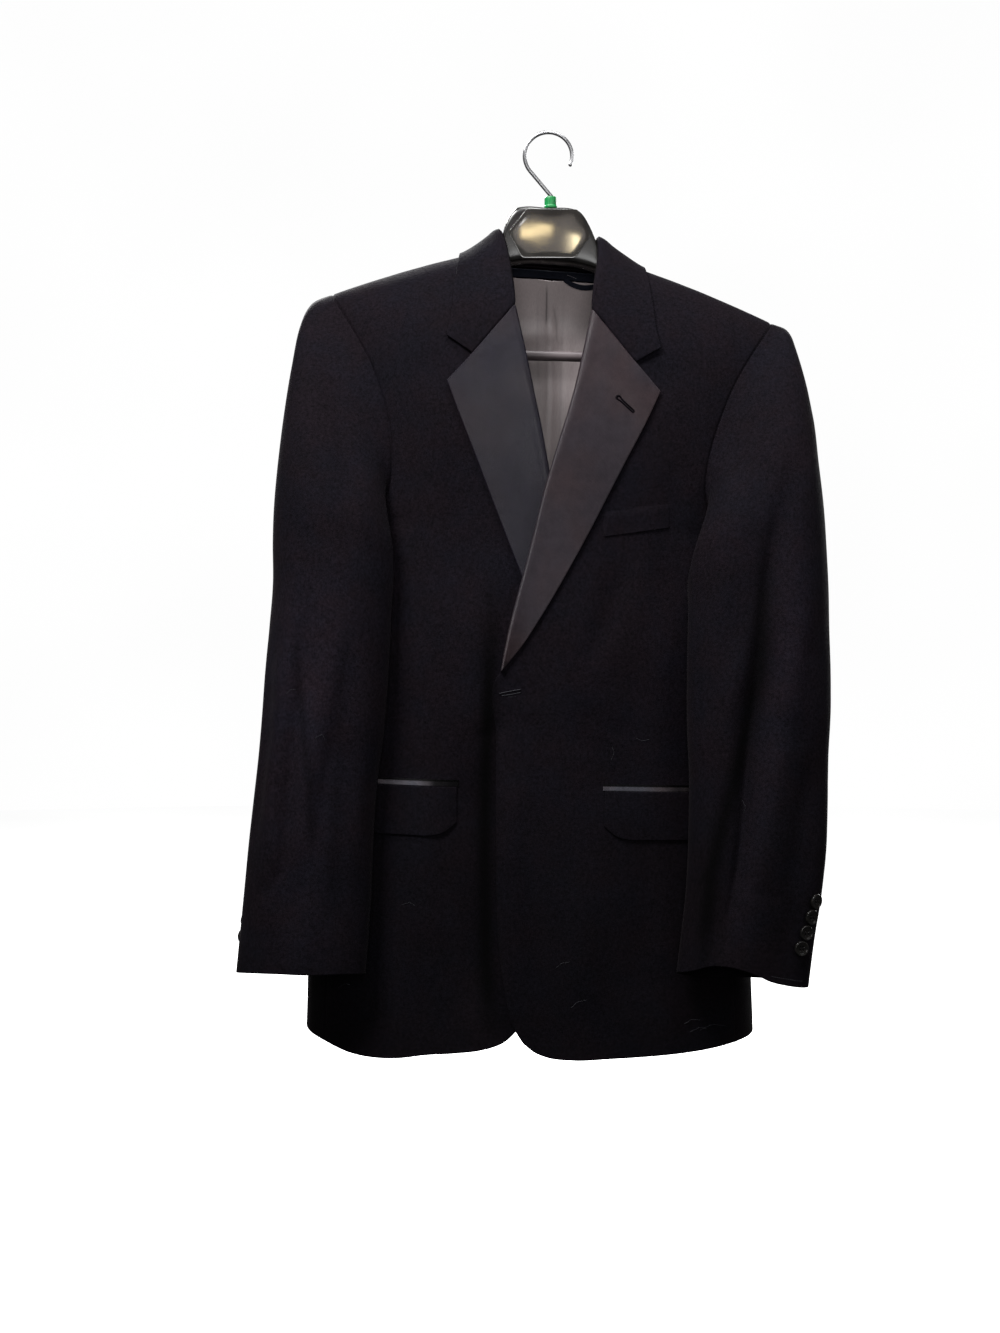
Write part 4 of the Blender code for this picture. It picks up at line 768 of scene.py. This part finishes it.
def make_lining():
    look = Look("lining", Roughness=0.5, Specular_IOR_Level=0.35, Anisotropic=0.35, Sheen_Weight=0.08)
    fine, cloudy = look.noise(900, 2.0, stretch=(1, 1, 0.15)), look.noise(18, 3.0)
    look.colour(look.ramp(look.blend((fine, 0.4), (cloudy, 0.6)),
                          [(0.3, (0.164, 0.138, 0.139)), (0.7, (0.232, 0.198, 0.197))]),
                *(look.band(*band) for band in LINING_PAINTED_SHADE))
    look.relief((fine, 0.0002, 0.4), (cloudy, 0.002, 0.4))


def make_ribbon():
    look = Look("ribbon", Roughness=0.6, Specular_IOR_Level=0.06, Sheen_Weight=0.005)
    look.colour(look.ramp(look.noise(700), [(0.3, (0.0025, 0.003, 0.006)), (0.7, (0.006, 0.0075, 0.013))]))
    look.relief((look.wave(420, "X", 0.2), 0.00025, 0.8))


def make_plain(name, grain, low, high, rough, relief, marks=(0.3, 0.7), **shader):
    """A look from three noises: for the colour, the roughness (share, base) and the relief (distance, strength)."""
    look = Look(name, **shader)
    look.colour(look.ramp(look.noise(*grain), [(marks[0], low), (marks[1], high)]))
    if rough:
        look.rough(look.noise(*rough[0]), *rough[1:])
    look.relief((look.noise(*relief[0]), *relief[1:]))


def make_dull_gloss(name, low, high, base):
    make_plain(name, (60, 3.0), low, high, ((60, 2.0), 0.12, base), ((30, 1.0), 0.0008, 0.2),
               Roughness=0.26, Specular_IOR_Level=0.2)


def make_thread(name, colour, shine, fuzz):
    make_plain(name, (2500, 1.0), tuple(0.6 * c for c in colour), colour, None, ((2500, 1.0), 0.0001, 0.6),
               Roughness=0.6, Specular_IOR_Level=shine, Sheen_Weight=fuzz)


make_wool()
make_satin("satin", (0.0020, 0.0016, 0.0025), (0.0052, 0.0041, 0.0061), 0.034)
# A brighter, warmer copy of the satin for the wearer's left lapel: painted warm light
make_satin("satin_painted_warm_light", (0.0040, 0.0027, 0.0034), (0.0105, 0.0076, 0.0088), 0.085)
# The pocket jets: a brighter copy of the satin, a painted highlight
make_satin("satin_jet", (0.014, 0.013, 0.014), (0.032, 0.030, 0.032), 0.012, (
    (0.0, 1.1), (0.148, 1.1), (0.19, 0.1), (0.29, 0.02), (0.5, 0.2),
    (0.64, 0.5), (0.67, 0.82), (0.85, 0.82), (0.90, 0.3), (1.0, 0.2)))
make_lining()
make_ribbon()
make_plain("button", (160, 3.0, 0.5, (1, 1, 2.5)), 0.0015, (0.004, 0.0035, 0.0032), ((300,), 0.08, 0.10),
           ((500,), 0.0001, 0.4), (0.35, 0.75), Roughness=0.14, Specular_IOR_Level=0.05)
make_plain("black_gloss", (40, 3.0), (0.004, 0.0035, 0.003), (0.010, 0.009, 0.008), ((60, 2.0), 0.03, 0.03),
           ((24, 1.0), 0.0012, 0.12), Roughness=0.08, Specular_IOR_Level=0.5, Coat_Weight=0.3, Coat_Roughness=0.04)
make_plain("green_plastic", (120,), (0.0, 0.055, 0.012), (0.001, 0.09, 0.02), ((300,), 0.2, 0.28),
           ((900,), 0.0001, 0.5), Roughness=0.4, Specular_IOR_Level=0.2)
DRAWN = (260, 3.0, 0.5, (1, 1, 0.05))  # the fine lines along drawn wire
make_plain("steel_wire", DRAWN, (0.14, 0.14, 0.145), (0.19, 0.19, 0.195), (DRAWN, 0.14, 0.26),
           (DRAWN, 0.0001, 0.3), Metallic=1.0, Roughness=0.3, Anisotropic=0.4)
# The hanger's arms: a darker, duller copy of the black gloss, painted shade so the neck's underside stays dark
make_dull_gloss("black_gloss_dull_shaded", (0.0018, 0.0016, 0.0015), (0.0045, 0.0040, 0.0036), 0.2)
# The trouser bar: a lighter, brownish copy of the black gloss, its colour a painted reflection of the lining
make_dull_gloss("black_gloss_bar", (0.030, 0.023, 0.025), (0.046, 0.036, 0.038), 0.42)
make_thread("thread", (0.16, 0.15, 0.17), 0.4, 0.1)
make_thread("light_thread", (0.018, 0.018, 0.021), 0.06, 0.01)
make_thread("black_thread", (0.0013, 0.0010, 0.0016), 0.01, 0.0)

SLOTS = {"thread": "satin", "light_thread": "satin", "black_thread": "wool", "satin_painted_warm_light": "satin",
         "satin_jet": "satin", "black_gloss_dull_shaded": "black_gloss", "black_gloss_bar": "black_gloss"}
OWN_LOOK = {"lapel_left": "satin_painted_warm_light", "pocket_jet_left": "satin_jet", "pocket_jet_right": "satin_jet"}


def dress(piece, look, *replaced):
    piece.data.materials.clear()
    piece.data.materials.append(looks[look])
    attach(piece, "root")
    if replaced:
        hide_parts(*replaced)
    SLOTS.get(look, look)


for name, panel in made.items():
    dress(panel["piece"], OWN_LOOK.get(name, CLOTH[kind_of(name)][2]), name)


# Turned and drawn pieces

def turns(count, start=0.0):
    return [2 * math.pi * (k + start) / count for k in range(count)]


def tube(rings):
    """Points and faces of rings of equal size, each joined to the next."""
    count = len(rings[0])
    quads = []
    for r in range(len(rings) - 1):
        for k in range(count):
            m = (k + 1) % count
            quads.append((r * count + k, r * count + m, (r + 1) * count + m, (r + 1) * count + k))
    return [p for ring in rings for p in ring], quads


def lathe(name, profile, centre, axis, up, around, shaped=None):
    """A piece turned from a profile of (radius, height) along the axis, with both ends drawn shut."""
    axis = Vector(axis).normalized()
    side = axis.cross(Vector(up)).normalized()
    other = axis.cross(side)
    rings = []
    for radius, height in profile:
        ring = []
        for turn in turns(around):
            r, h = shaped(radius, height, turn) if shaped else (radius, height)
            ring.append(tuple(Vector(centre) + MM * (
                r * math.cos(turn) * side + r * math.sin(turn) * other + h * axis)))
        rings.append(ring)
    return mesh_object(name, *tube(rings))


# Domed ends of a wire: how far along and how wide, in radii
DOME = ((-0.9, 0.02), (-0.75, 0.6), (-0.35, 0.93))


def wires(name, paths, radius, look, around=6, replaced=()):
    """Round wires along paths of points in metres, as one dressed piece."""
    points, quads = [], []
    for path in paths:
        path = [Vector(p) for p in path]
        rings, last = [], None
        for k, p in enumerate(path):
            way = (path[min(k + 1, len(path) - 1)] - path[max(k - 1, 0)]).normalized()
            side = way.orthogonal().normalized() if last is None else (last - way * last.dot(way)).normalized()
            last = side
            other = way.cross(side)
            parts = [*DOME, (0.0, 1.0)] if k == 0 else [(0.0, 1.0)]
            if k == len(path) - 1:
                parts += [(-ahead, share) for ahead, share in reversed(DOME)]
            for ahead, share in parts:
                rings.append([tuple(p + radius * MM * (
                    way * ahead + share * (math.cos(t) * side + math.sin(t) * other))) for t in turns(around)])
        more, more_quads = tube(rings)
        quads += [tuple(i + len(points) for i in quad) for quad in more_quads]
        points += more
    dress(mesh_object(name, points, quads), look, *replaced)


# Hanger

# The line the shoulders rest on: distance out, Y
RIDGE = np.array([(0, 0), (48, 0), (70, 0), (90, -0.4), (118, -1.5), (146, -3.3), (172, -5.3), (194, -7.0),
                  (214, -8.2)])
# The neck and arms: distance out, Z of the top, Z of the foot, half depth
ARMS = np.array([
    (0, -74, -127, 13), (24, -74, -128, 13), (30, -75.5, -129, 13), (35, -80, -130, 13), (39, -86.5, -131, 13),
    (42.5, -94, -132, 13), (46.5, -106, -134, 13), (52, -121, -142, 13), (70, -128, -152, 14),
    (100, -138.5, -163, 14), (140, -151.5, -176, 15), (172, -164, -188, 15), (192, -173, -192, 13),
    (200, -178, -190, 10)])


def between(rows, column, at):
    """A column of a table at a value of its first column, along smooth curves."""
    xs, ys = rows[:, 0], rows[:, column]
    slopes = np.gradient(ys, xs)
    at = np.clip(at, xs[0], xs[-1])
    i = int(np.clip(np.searchsorted(xs, at, side="right") - 1, 0, len(xs) - 2))
    span = xs[i + 1] - xs[i]
    t = (at - xs[i]) / span
    rise = ys[i] * (1 - t) ** 2 * (1 + 2 * t) + ys[i + 1] * t**2 * (3 - 2 * t)
    return rise + span * (slopes[i] * t * (1 - t) ** 2 - slopes[i + 1] * t**2 * (1 - t))


def hang(x, y, z):
    """A spot of the straight hanger in millimetres, leaned and tilted, in metres."""
    lean, tilt = between(HANG, 1, z), between(HANG, 2, z)
    return [(x + lean) * MM, y * MM, (z - x * math.tan(math.radians(tilt))) * MM]


def ridge_y(x):
    return float(np.interp(abs(x), *RIDGE.T))


def hanger_arms():
    xs = sorted({*np.arange(0, 30, 3.0), *np.arange(30, 54, 1.0), *np.arange(54, 200.1, 4.0), 200.0})
    tips = [(200 + 2.2 * (1 - part), part) for part in (0.8, 0.45, 0.02)]
    stations = [(x, 1.0) for x in xs] + tips
    rings = []
    for x, part in [(-x, part) for x, part in reversed(stations) if x] + stations:
        top, low, deep = (between(ARMS, column, abs(x)) for column in (1, 2, 3))
        power = 0.75 - 0.4 * float(smooth(54, 46, abs(x)))  # boxier at the neck
        ring = []
        for turn in turns(48, 0.5):
            c, s = (math.copysign(abs(v) ** power, v) for v in (math.cos(turn), math.sin(turn)))
            ring.append(hang(x, ridge_y(x) + part * deep * c, (top + low) / 2 + part * (top - low) / 2 * s))
        rings.append(ring)
    return mesh_object("hanger_arms", *tube(rings))


def hanger_post(side, foot=-227, height=55, width=9, depth=11, bevel=1.6):
    middle = hang(SIGN[side] * 165.0, ridge_y(165), foot + height / 2)
    bpy.ops.mesh.primitive_cube_add(size=1.0, location=middle)
    post = bpy.context.object
    post.name = "hanger_post_" + side
    post.scale = (width * MM, depth * MM, height * MM)
    bpy.ops.object.transform_apply(location=False, rotation=False, scale=True)
    soft = post.modifiers.new("round", "BEVEL")
    soft.width = bevel * MM
    soft.segments = 3
    soft.limit_method = "ANGLE"
    post.data.shade_smooth()
    return post


def neck_face(corners, y=-12.7, proud=1.425, rounding=3.2):
    """The raised six-sided face on the front of the neck."""
    centre = corners.mean(0)
    path = []
    for k, corner in enumerate(corners):
        before, after = corners[k - 1], corners[(k + 1) % len(corners)]
        a, b = (corner + unit(end - corner) * rounding for end in (before, after))
        path += [(1 - t) ** 2 * a + 2 * t * (1 - t) * corner + t * t * b for t in np.linspace(0, 1, 7)]
        path += [b + (after + unit(corner - after) * rounding - b) * t for t in (0.33, 0.66)]
    path = np.array(path)
    away = np.linalg.norm(path - centre, axis=1, keepdims=True)
    rings = []
    for inset, lift, share in ((0, -4.5, 1), (0, 1.23, 1), (0.06, 1.35, 1), (0.2, 1.41, 1), (0.8, proud, 1),
                               (7, proud, 1), (12, proud, 1), (12, proud, 1e-5)):
        ring = centre + (path - centre) * (1 - inset / away) * share
        rings.append([(x * MM, (y - lift) * MM, z * MM) for x, z in ring])
    return mesh_object("hanger_neck_face", *tube(rings))


def ribbed(r, h, turn):
    """The bushing's fine upright ribs."""
    return (r + 0.22 * (0.5 + 0.5 * math.cos(18 * turn)) if r > 5.5 and -70.2 < h < -63.2 else r), h


dress(hanger_arms(), "black_gloss_dull_shaded", "hanger_body")
for side in SIGN:
    dress(hanger_post(side), "black_gloss_dull_shaded")
half_bar = [(5.0, 158.4), (4.6, 159.4), (3.6, 160), (0.02, 160)]
profile = [(r, -h) for r, h in reversed(half_bar)] + [(5.0, float(h)) for h in np.linspace(-150, 150, 61)]
bar_tilt = math.radians(1.6)
bar = lathe("hanger_trouser_bar", profile + half_bar, hang(0, ridge_y(165), -219.0),
            (math.cos(bar_tilt), 0, -math.sin(bar_tilt)), (0, 1, 0), 32)
dress(bar, "black_gloss_bar", "hanger_bar")
face = neck_face(np.array([(-21.3, -76.8), (28.4, -77.3), (40.6, -103.4), (26.2, -124.8), (-26.4, -124.6),
                           (-39.6, -99.6)]))
dress(face, "black_gloss")
NECK_X, BUSHING_TOP = 2.2, -61.7
profile = [(0.02, BUSHING_TOP), (4.4, BUSHING_TOP), (5.2, -61.9), (5.7, -62.4), (5.85, -63.0), (5.8, -63.4),
           (5.8, -66), (5.8, -69.8), (5.85, -70.4), (6.4, -70.8), (6.7, -71.1), (6.8, -71.5), (6.8, -73.3),
           (6.5, -73.6), (0.02, -73.6)]
bushing = lathe("hanger_bushing_ring", profile, (NECK_X * MM, 0, 0), (0, 0, 1), (0, 1, 0), 108, ribbed)
dress(bushing, "green_plastic", "hanger_bushing")

# The hook's middle line: straight from its foot in the bushing to where it touches the bend, then round the bend
WIRE, BEND = 1.9, 23.3
foot, centre = np.array([NECK_X, BUSHING_TOP + 1.5]), np.array([0.0, WIRE - BEND])
distance = np.linalg.norm(centre - foot)
run = math.sqrt(distance**2 - BEND**2)
heading = math.atan2(*(centre - foot)[::-1]) + math.asin(BEND / distance)
way = np.array([math.cos(heading), math.sin(heading)])
start = math.atan2(*(foot + way * run - centre)[::-1]) % (2 * math.pi)
path = [foot + way * run * t for t in np.linspace(-0.05, 0.97, 12)]
path += [centre + BEND * np.array([math.cos(t), math.sin(t)]) for t in np.linspace(start, math.radians(-22), 60)]
wires("hanger_hook_wire", [[(x * MM, 0, z * MM) for x, z in path]], WIRE, "steel_wire", 20, ["hanger_hook"])


# Buttons

def build_button(name):
    """A turned button with a rim, a hollow and four holes, sewn on with two double threads."""
    points, _ = welded(nodes[name])
    centre = points.mean(0)
    axis = np.linalg.svd(points - centre)[2][2]
    heights = (points - centre) @ axis
    radius = float(np.linalg.norm(points - centre - np.outer(heights, axis), axis=1).max() / MM)
    half = float(np.ptp(heights) / MM) / 2
    centre = centre + axis * (heights.max() + heights.min()) / 2
    outward = (0, -1, 0)
    if name != "front_button":
        middle = sleeve_axis(centre[2] / MM, "left" if "_left_" in name else "right")
        outward = (centre[0] / MM - middle[0], centre[1] / MM - middle[1], 0)
    axis = Vector(axis if axis @ outward > 0 else -axis).normalized()
    hole, spread = radius * 0.115, radius * 0.20

    def bored(r, h, turn):
        away = math.hypot(abs(r * math.cos(turn)) - spread, abs(r * math.sin(turn)) - spread)
        return r, h - (1.1 * float(smooth(hole + 0.25, hole - 0.1, away)) if h > 0 else 0)

    profile = [(0.25, -half), (radius * 0.62, -half), (radius * 0.86, -half + 0.5), (radius * 0.97, -0.15 * half),
               (radius, 0.25 * half), (radius * 0.985, 0.6 * half), (radius * 0.95, 0.85 * half),
               (radius * 0.90, half), (radius * 0.84, half), (radius * 0.79, half - 0.15),
               (radius * 0.74, half - 0.5), (radius * 0.68, half - 0.72), (radius * 0.6, half - 0.82)]
    profile += [(float(r), half - 0.9) for r in np.linspace(radius * 0.54, 0.2, 12)]
    dress(lathe("turned_" + name, profile, centre, axis, (0, 0, 1), 56, bored), "button", name)
    side = axis.cross(Vector((0, 0, 1))).normalized()
    other = axis.cross(side)
    for a in (-1, 1):
        for second in (0, 1):
            path = []
            for t in np.linspace(-1, 1, 9).tolist():
                u, v = a * (spread + 0.12 * second - 0.06), t * spread
                h = half - 0.56 - abs(t) ** 6 + 0.0288 * second
                path.append(Vector(centre) + MM * (u * side + v * other + h * axis))
            wires("thread_%s_%d_%d" % (name, a > 0, second), [path], 0.17, "black_thread", 8)


for name in sorted(nodes):
    if "button" in name:
        build_button(name)


# Sewing and small marks: each is placed by its spot in the photograph and laid on the cloth that shows there

EYE = Vector((-0.0475, -1.76, -0.5236))  # where the photograph was taken from
MIDDLE, FOCAL = (500, 666.5), 1789  # the photograph's middle and focal length, in its pixels
bpy.context.view_layer.update()


def tree_of(names):
    points, quads = [], []
    for name in names:
        mesh = made[name]["piece"].data
        quads += [tuple(i + len(points) for i in poly.vertices) for poly in mesh.polygons]
        points += [v.co.copy() for v in mesh.vertices]
    return bvhtree.BVHTree.FromPolygons(points, quads)


inside_names = ["back_lining", "neck_facing", "hang_loop"]
inside = tree_of(inside_names)
jacket = tree_of([name for name in made if kind_of(name) != "back" and name not in inside_names])


def seen(spot, lift, tree=jacket):
    """The point of the cloth that shows at a pixel, lifted off it by millimetres."""
    way = Vector(((spot[0] - MIDDLE[0]) / FOCAL, 1, (MIDDLE[1] - spot[1]) / FOCAL)).normalized()
    place, normal, _, _ = tree.ray_cast(EYE, way)
    if place is None:
        place, normal, _, _ = tree.find_nearest(EYE + way * 1.76)
    if normal.dot(way) > 0:
        normal = -normal
    return place + normal * lift * MM


def along_spots(spots, count):
    run = run_along(spots)
    at = np.linspace(0, run[-1], count)
    return np.stack([np.interp(at, run, column) for column in np.transpose(spots)], 1)


def buttonhole(name, a, b, gap, radius, eye=0.0, lift=0.15):
    """A worked buttonhole: a ridge of thread round a slit, made of purl stitches side by side."""
    a, b = np.array(a, float), np.array(b, float)
    way, length = unit(b - a), np.linalg.norm(b - a)
    side = np.array([-way[1], way[0]])
    sunk, top = lift - 0.25, lift + radius * 0.6
    stitches = []
    for t in np.linspace(0, 1, max(10, int(length / 0.75))):
        wide = gap * (1 + eye * math.exp(-((t / 0.14) ** 2)))
        for sign in (-1, 1):
            middle = a + way * length * t + side * sign * wide
            stitches.append([middle + side * sign * gap * k for k in (-0.45, 0, 0.55)])
    for end, sign in ((a, -1), (b, 1)):
        wide = gap * (1 + (eye if sign < 0 else 0))
        for turn in np.linspace(-1.2, 1.2, 5):
            out = way * sign * math.cos(turn) + side * math.sin(turn)
            stitches.append([end + out * wide * k for k in (0.5, 1, 1.5)])
    wires(name, [[seen(q, h) for q, h in zip(stitch, (sunk, top, sunk))] for stitch in stitches], radius,
          "black_thread")


def stitch_row(name, spots, count, length, radius, look, tree=jacket):
    """A row of short stitches, each sunk at both ends."""
    spots = along_spots(spots, count)
    paths = []
    for a, b in zip(spots, spots[1:]):
        way = (b - a) * length
        paths.append([seen(a + way * t, h, tree) for t, h in ((0, -0.2), (0.25, 0.12), (0.75, 0.12), (1, -0.2))])
    wires(name, paths, radius, look)


buttonhole("lapel_buttonhole", (618.5, 397.5), (633, 411), 0.95, 0.5, eye=0.9)
buttonhole("closure_buttonhole", (501, 694.3), (519.5, 690.8), 0.85, 0.3)
for name, spots, radius in (("closure_thread_upper", [(499.5, 693.4), (508, 691.6), (520.5, 689.3)], 0.24),
                            ("closure_thread_lower", [(502, 695.6), (512, 694.2), (520.5, 692.4)], 0.22)):
    wires(name, [[seen(q, 0.3) for q in along_spots(spots, 12)]], radius, "light_thread")
stitch_row("closure_tack", [(508.5, 697), (513, 697), (517, 696.5)], 5, 0.4, 0.16, "light_thread")
stitch_row("cuff_stitches", [(772, 976.5), (786, 979), (797, 981), (803.5, 981)], 15, 0.55, 0.16, "light_thread")
stitch_row("loop_tack", [(567.5, 275), (577, 279)], 6, 0.6, 0.22, "thread", inside)
stitch_row("facing_stitches", [(513.5, 278.5), (530, 276), (552, 276), (566, 278)], 22, 0.45, 0.14,
           "black_thread", inside)

# Lint that has settled on the wool
LINT = (
    [(684, 1024), (692, 1019), (700, 1020)], [(700, 1030), (712, 1024), (726, 1026)],
    [(690, 1032), (699, 1027), (707, 1029)], [(636, 738), (642, 741), (650, 739)],
    [(556, 968), (562, 963), (569, 962)], [(338, 988), (346, 983), (352, 986)],
    [(286, 694), (291, 689), (296, 690)], [(612, 747), (614, 753), (611, 760)],
    [(571, 1008), (577, 1002), (586, 1000)], [(315, 738), (322, 734), (325, 740)],
    [(742, 800), (746, 806), (744, 813)], [(402, 905), (410, 902), (415, 906)],
)
arched = [0.12 + 0.5 * math.sin(math.pi * k / 8) for k in range(9)]
wires("wool_lint", [[seen(q, h) for q, h in zip(along_spots(bend, 9), arched)] for bend in LINT], 0.09,
      "light_thread", 5)


# What each sheet was cut to, how it is held and what it rests on
HELD = {
    "front": ("hung", ("hanger_arms",)), "back": ("hung", ("hanger_arms",)), "side": ("hung", ("cloth_back_{s}",)),
    "lapel": ("folded", ("cloth_front_{s}",)), "top_sleeve": ("hung", ("cloth_front_{s}", "cloth_back_{s}")),
    "under_sleeve": ("hung", ("cloth_top_sleeve_{s}",)), "pocket_flap": ("hung", ("cloth_front_{s}",)),
    "pocket_jet": ("laid", ("cloth_front_{s}",)), "breast_welt": ("laid", ("cloth_front_left",)),
    "collar": ("folded", ("cloth_back_left", "cloth_back_right")), "back_lining": ("hung", ("hanger_arms",)),
    "neck_facing": ("hung", ("cloth_back_left", "cloth_back_right")), "hang_loop": ("hung", ("cloth_neck_facing",)),
}
NARROW = {"hang_loop": "neck_facing", "pocket_jet_left": "front_left", "pocket_jet_right": "front_right"}
for name, panel in made.items():
    if name in NARROW:
        continue
    held, rests = HELD[kind_of(name)]
    # up to the next whole millimetre
    width, length = (math.ceil(panel[key] * 1000 + 0.5) / 1000 for key in ("width", "length"))
    panel["piece"]
    [r.format(s=side_of(name)) for r in rests]
    round(min(panel["area"], width * length), 5)
    [made[n]["piece"] for n, carrier in NARROW.items() if carrier == name]


# Floor, light and camera

def stage_piece(name, rings, glow, tones, lit):
    """A floor or backdrop that the camera sees, and that lights nothing."""
    piece = mesh_object(name, *tube(rings))
    look = Look(name + "_paint", Roughness=0.9, Specular_IOR_Level=0.0, Emission_Strength=glow,
                Base_Color=(0, 0, 0, 1))
    paint = look.ramp(look.noise(0.7, 1.0), [(0.3, tones[0]), (0.7, tones[1])])
    look.join(paint, "Emission Color")
    if lit:
        look.join(paint, "Base Color")
    piece.data.materials.append(looks[name + "_paint"])
    piece.visible_diffuse = piece.visible_glossy = piece.visible_shadow = False
    piece.visible_transmission = piece.visible_volume_scatter = False


def disc(radius, z):
    return [(radius * math.cos(t), radius * math.sin(t), z) for t in turns(96)]


stage_piece("floor", [disc(r, -1.35) for r in (0.02, 1.0, 3.0, 6.0, 9.0)], 0.75, (0.93, 0.96), True)
dome = [disc(9.5 * math.cos(t), 9.5 * math.sin(t)) for t in [math.radians(a) for a in range(-89, 90, 8)]]
stage_piece("backdrop", dome, 1.0, (0.985, 1.0), False)
world = bpy.data.worlds.new("studio")
world.use_nodes = True
world.node_tree.nodes["Background"].inputs[0].default_value = (1, 1, 1, 1)
world.node_tree.nodes["Background"].inputs[1].default_value = 0.22
bpy.context.scene.world = world
bpy.context.scene.view_settings.view_transform = "Standard"
bpy.context.scene.view_settings.look = "None"


def put_at(place, rotation, data):
    obj = bpy.data.objects.new(data.name, data)
    obj.location, obj.rotation_euler = place, rotation
    collection.objects.link(obj)
    return obj


def area_light(name, place, target, size, power, colour=(1, 1, 1)):
    light = bpy.data.lights.new(name, "AREA")
    light.shape = "RECTANGLE"
    light.size, light.size_y = size
    light.energy = power
    light.color = colour
    put_at(place, (Vector(target) - Vector(place)).to_track_quat("-Z", "Y").to_euler(), light)


area_light("key", (-1.0, -1.3, 1.5), (0, 0, -0.4), (0.8, 0.7), 230)
area_light("fill", (1.9, -1.7, 0.3), (0, 0, -0.5), (1.2, 1.6), 40)
area_light("top", (0.3, -0.6, 1.9), (0, 0, -0.3), (1.0, 0.8), 110)
area_light("front", (-0.05, -2.4, -0.1), (0, 0, -0.4), (0.8, 0.8), 34)
area_light("back_left", (-0.9, 2.0, 1.3), (0, 0, -0.4), (0.8, 0.7), 190)
area_light("back_right", (1.3, 2.0, 0.2), (0, 0, -0.45), (1.0, 1.2), 50)

# Small warm lamps that the hanger's glossy neck mirrors: place, size, brightness, colour
for name, place, size, bright, colour in (
    ("glint_left", (0.026, -1.9, 0.360), (0.060, 0.011), 32, (1.0, 0.78, 0.40)),
    ("glint_right", (0.10, -1.9, 0.340), (0.022, 0.026), 30, (1.0, 0.84, 0.52)),
    ("glint_high", (-0.01, -1.9, 0.385), (0.014, 0.012), 30, (1.0, 0.98, 0.95)),
    ("glint_warm", (0.05, -1.9, 0.352), (0.20, 0.070), 1.9, (0.80, 0.72, 0.66)),
):
    area_light(name, place, (0, 0, -0.1), size, bright * math.pi * size[0] * size[1], colour)

camera = bpy.data.cameras.new("camera")
camera.sensor_fit = "VERTICAL"
camera.sensor_height = 24
camera.lens = 32.21
bpy.context.scene.camera = put_at(EYE, (math.radians(90), 0, 0), camera)


bpy.context.view_layer.update()
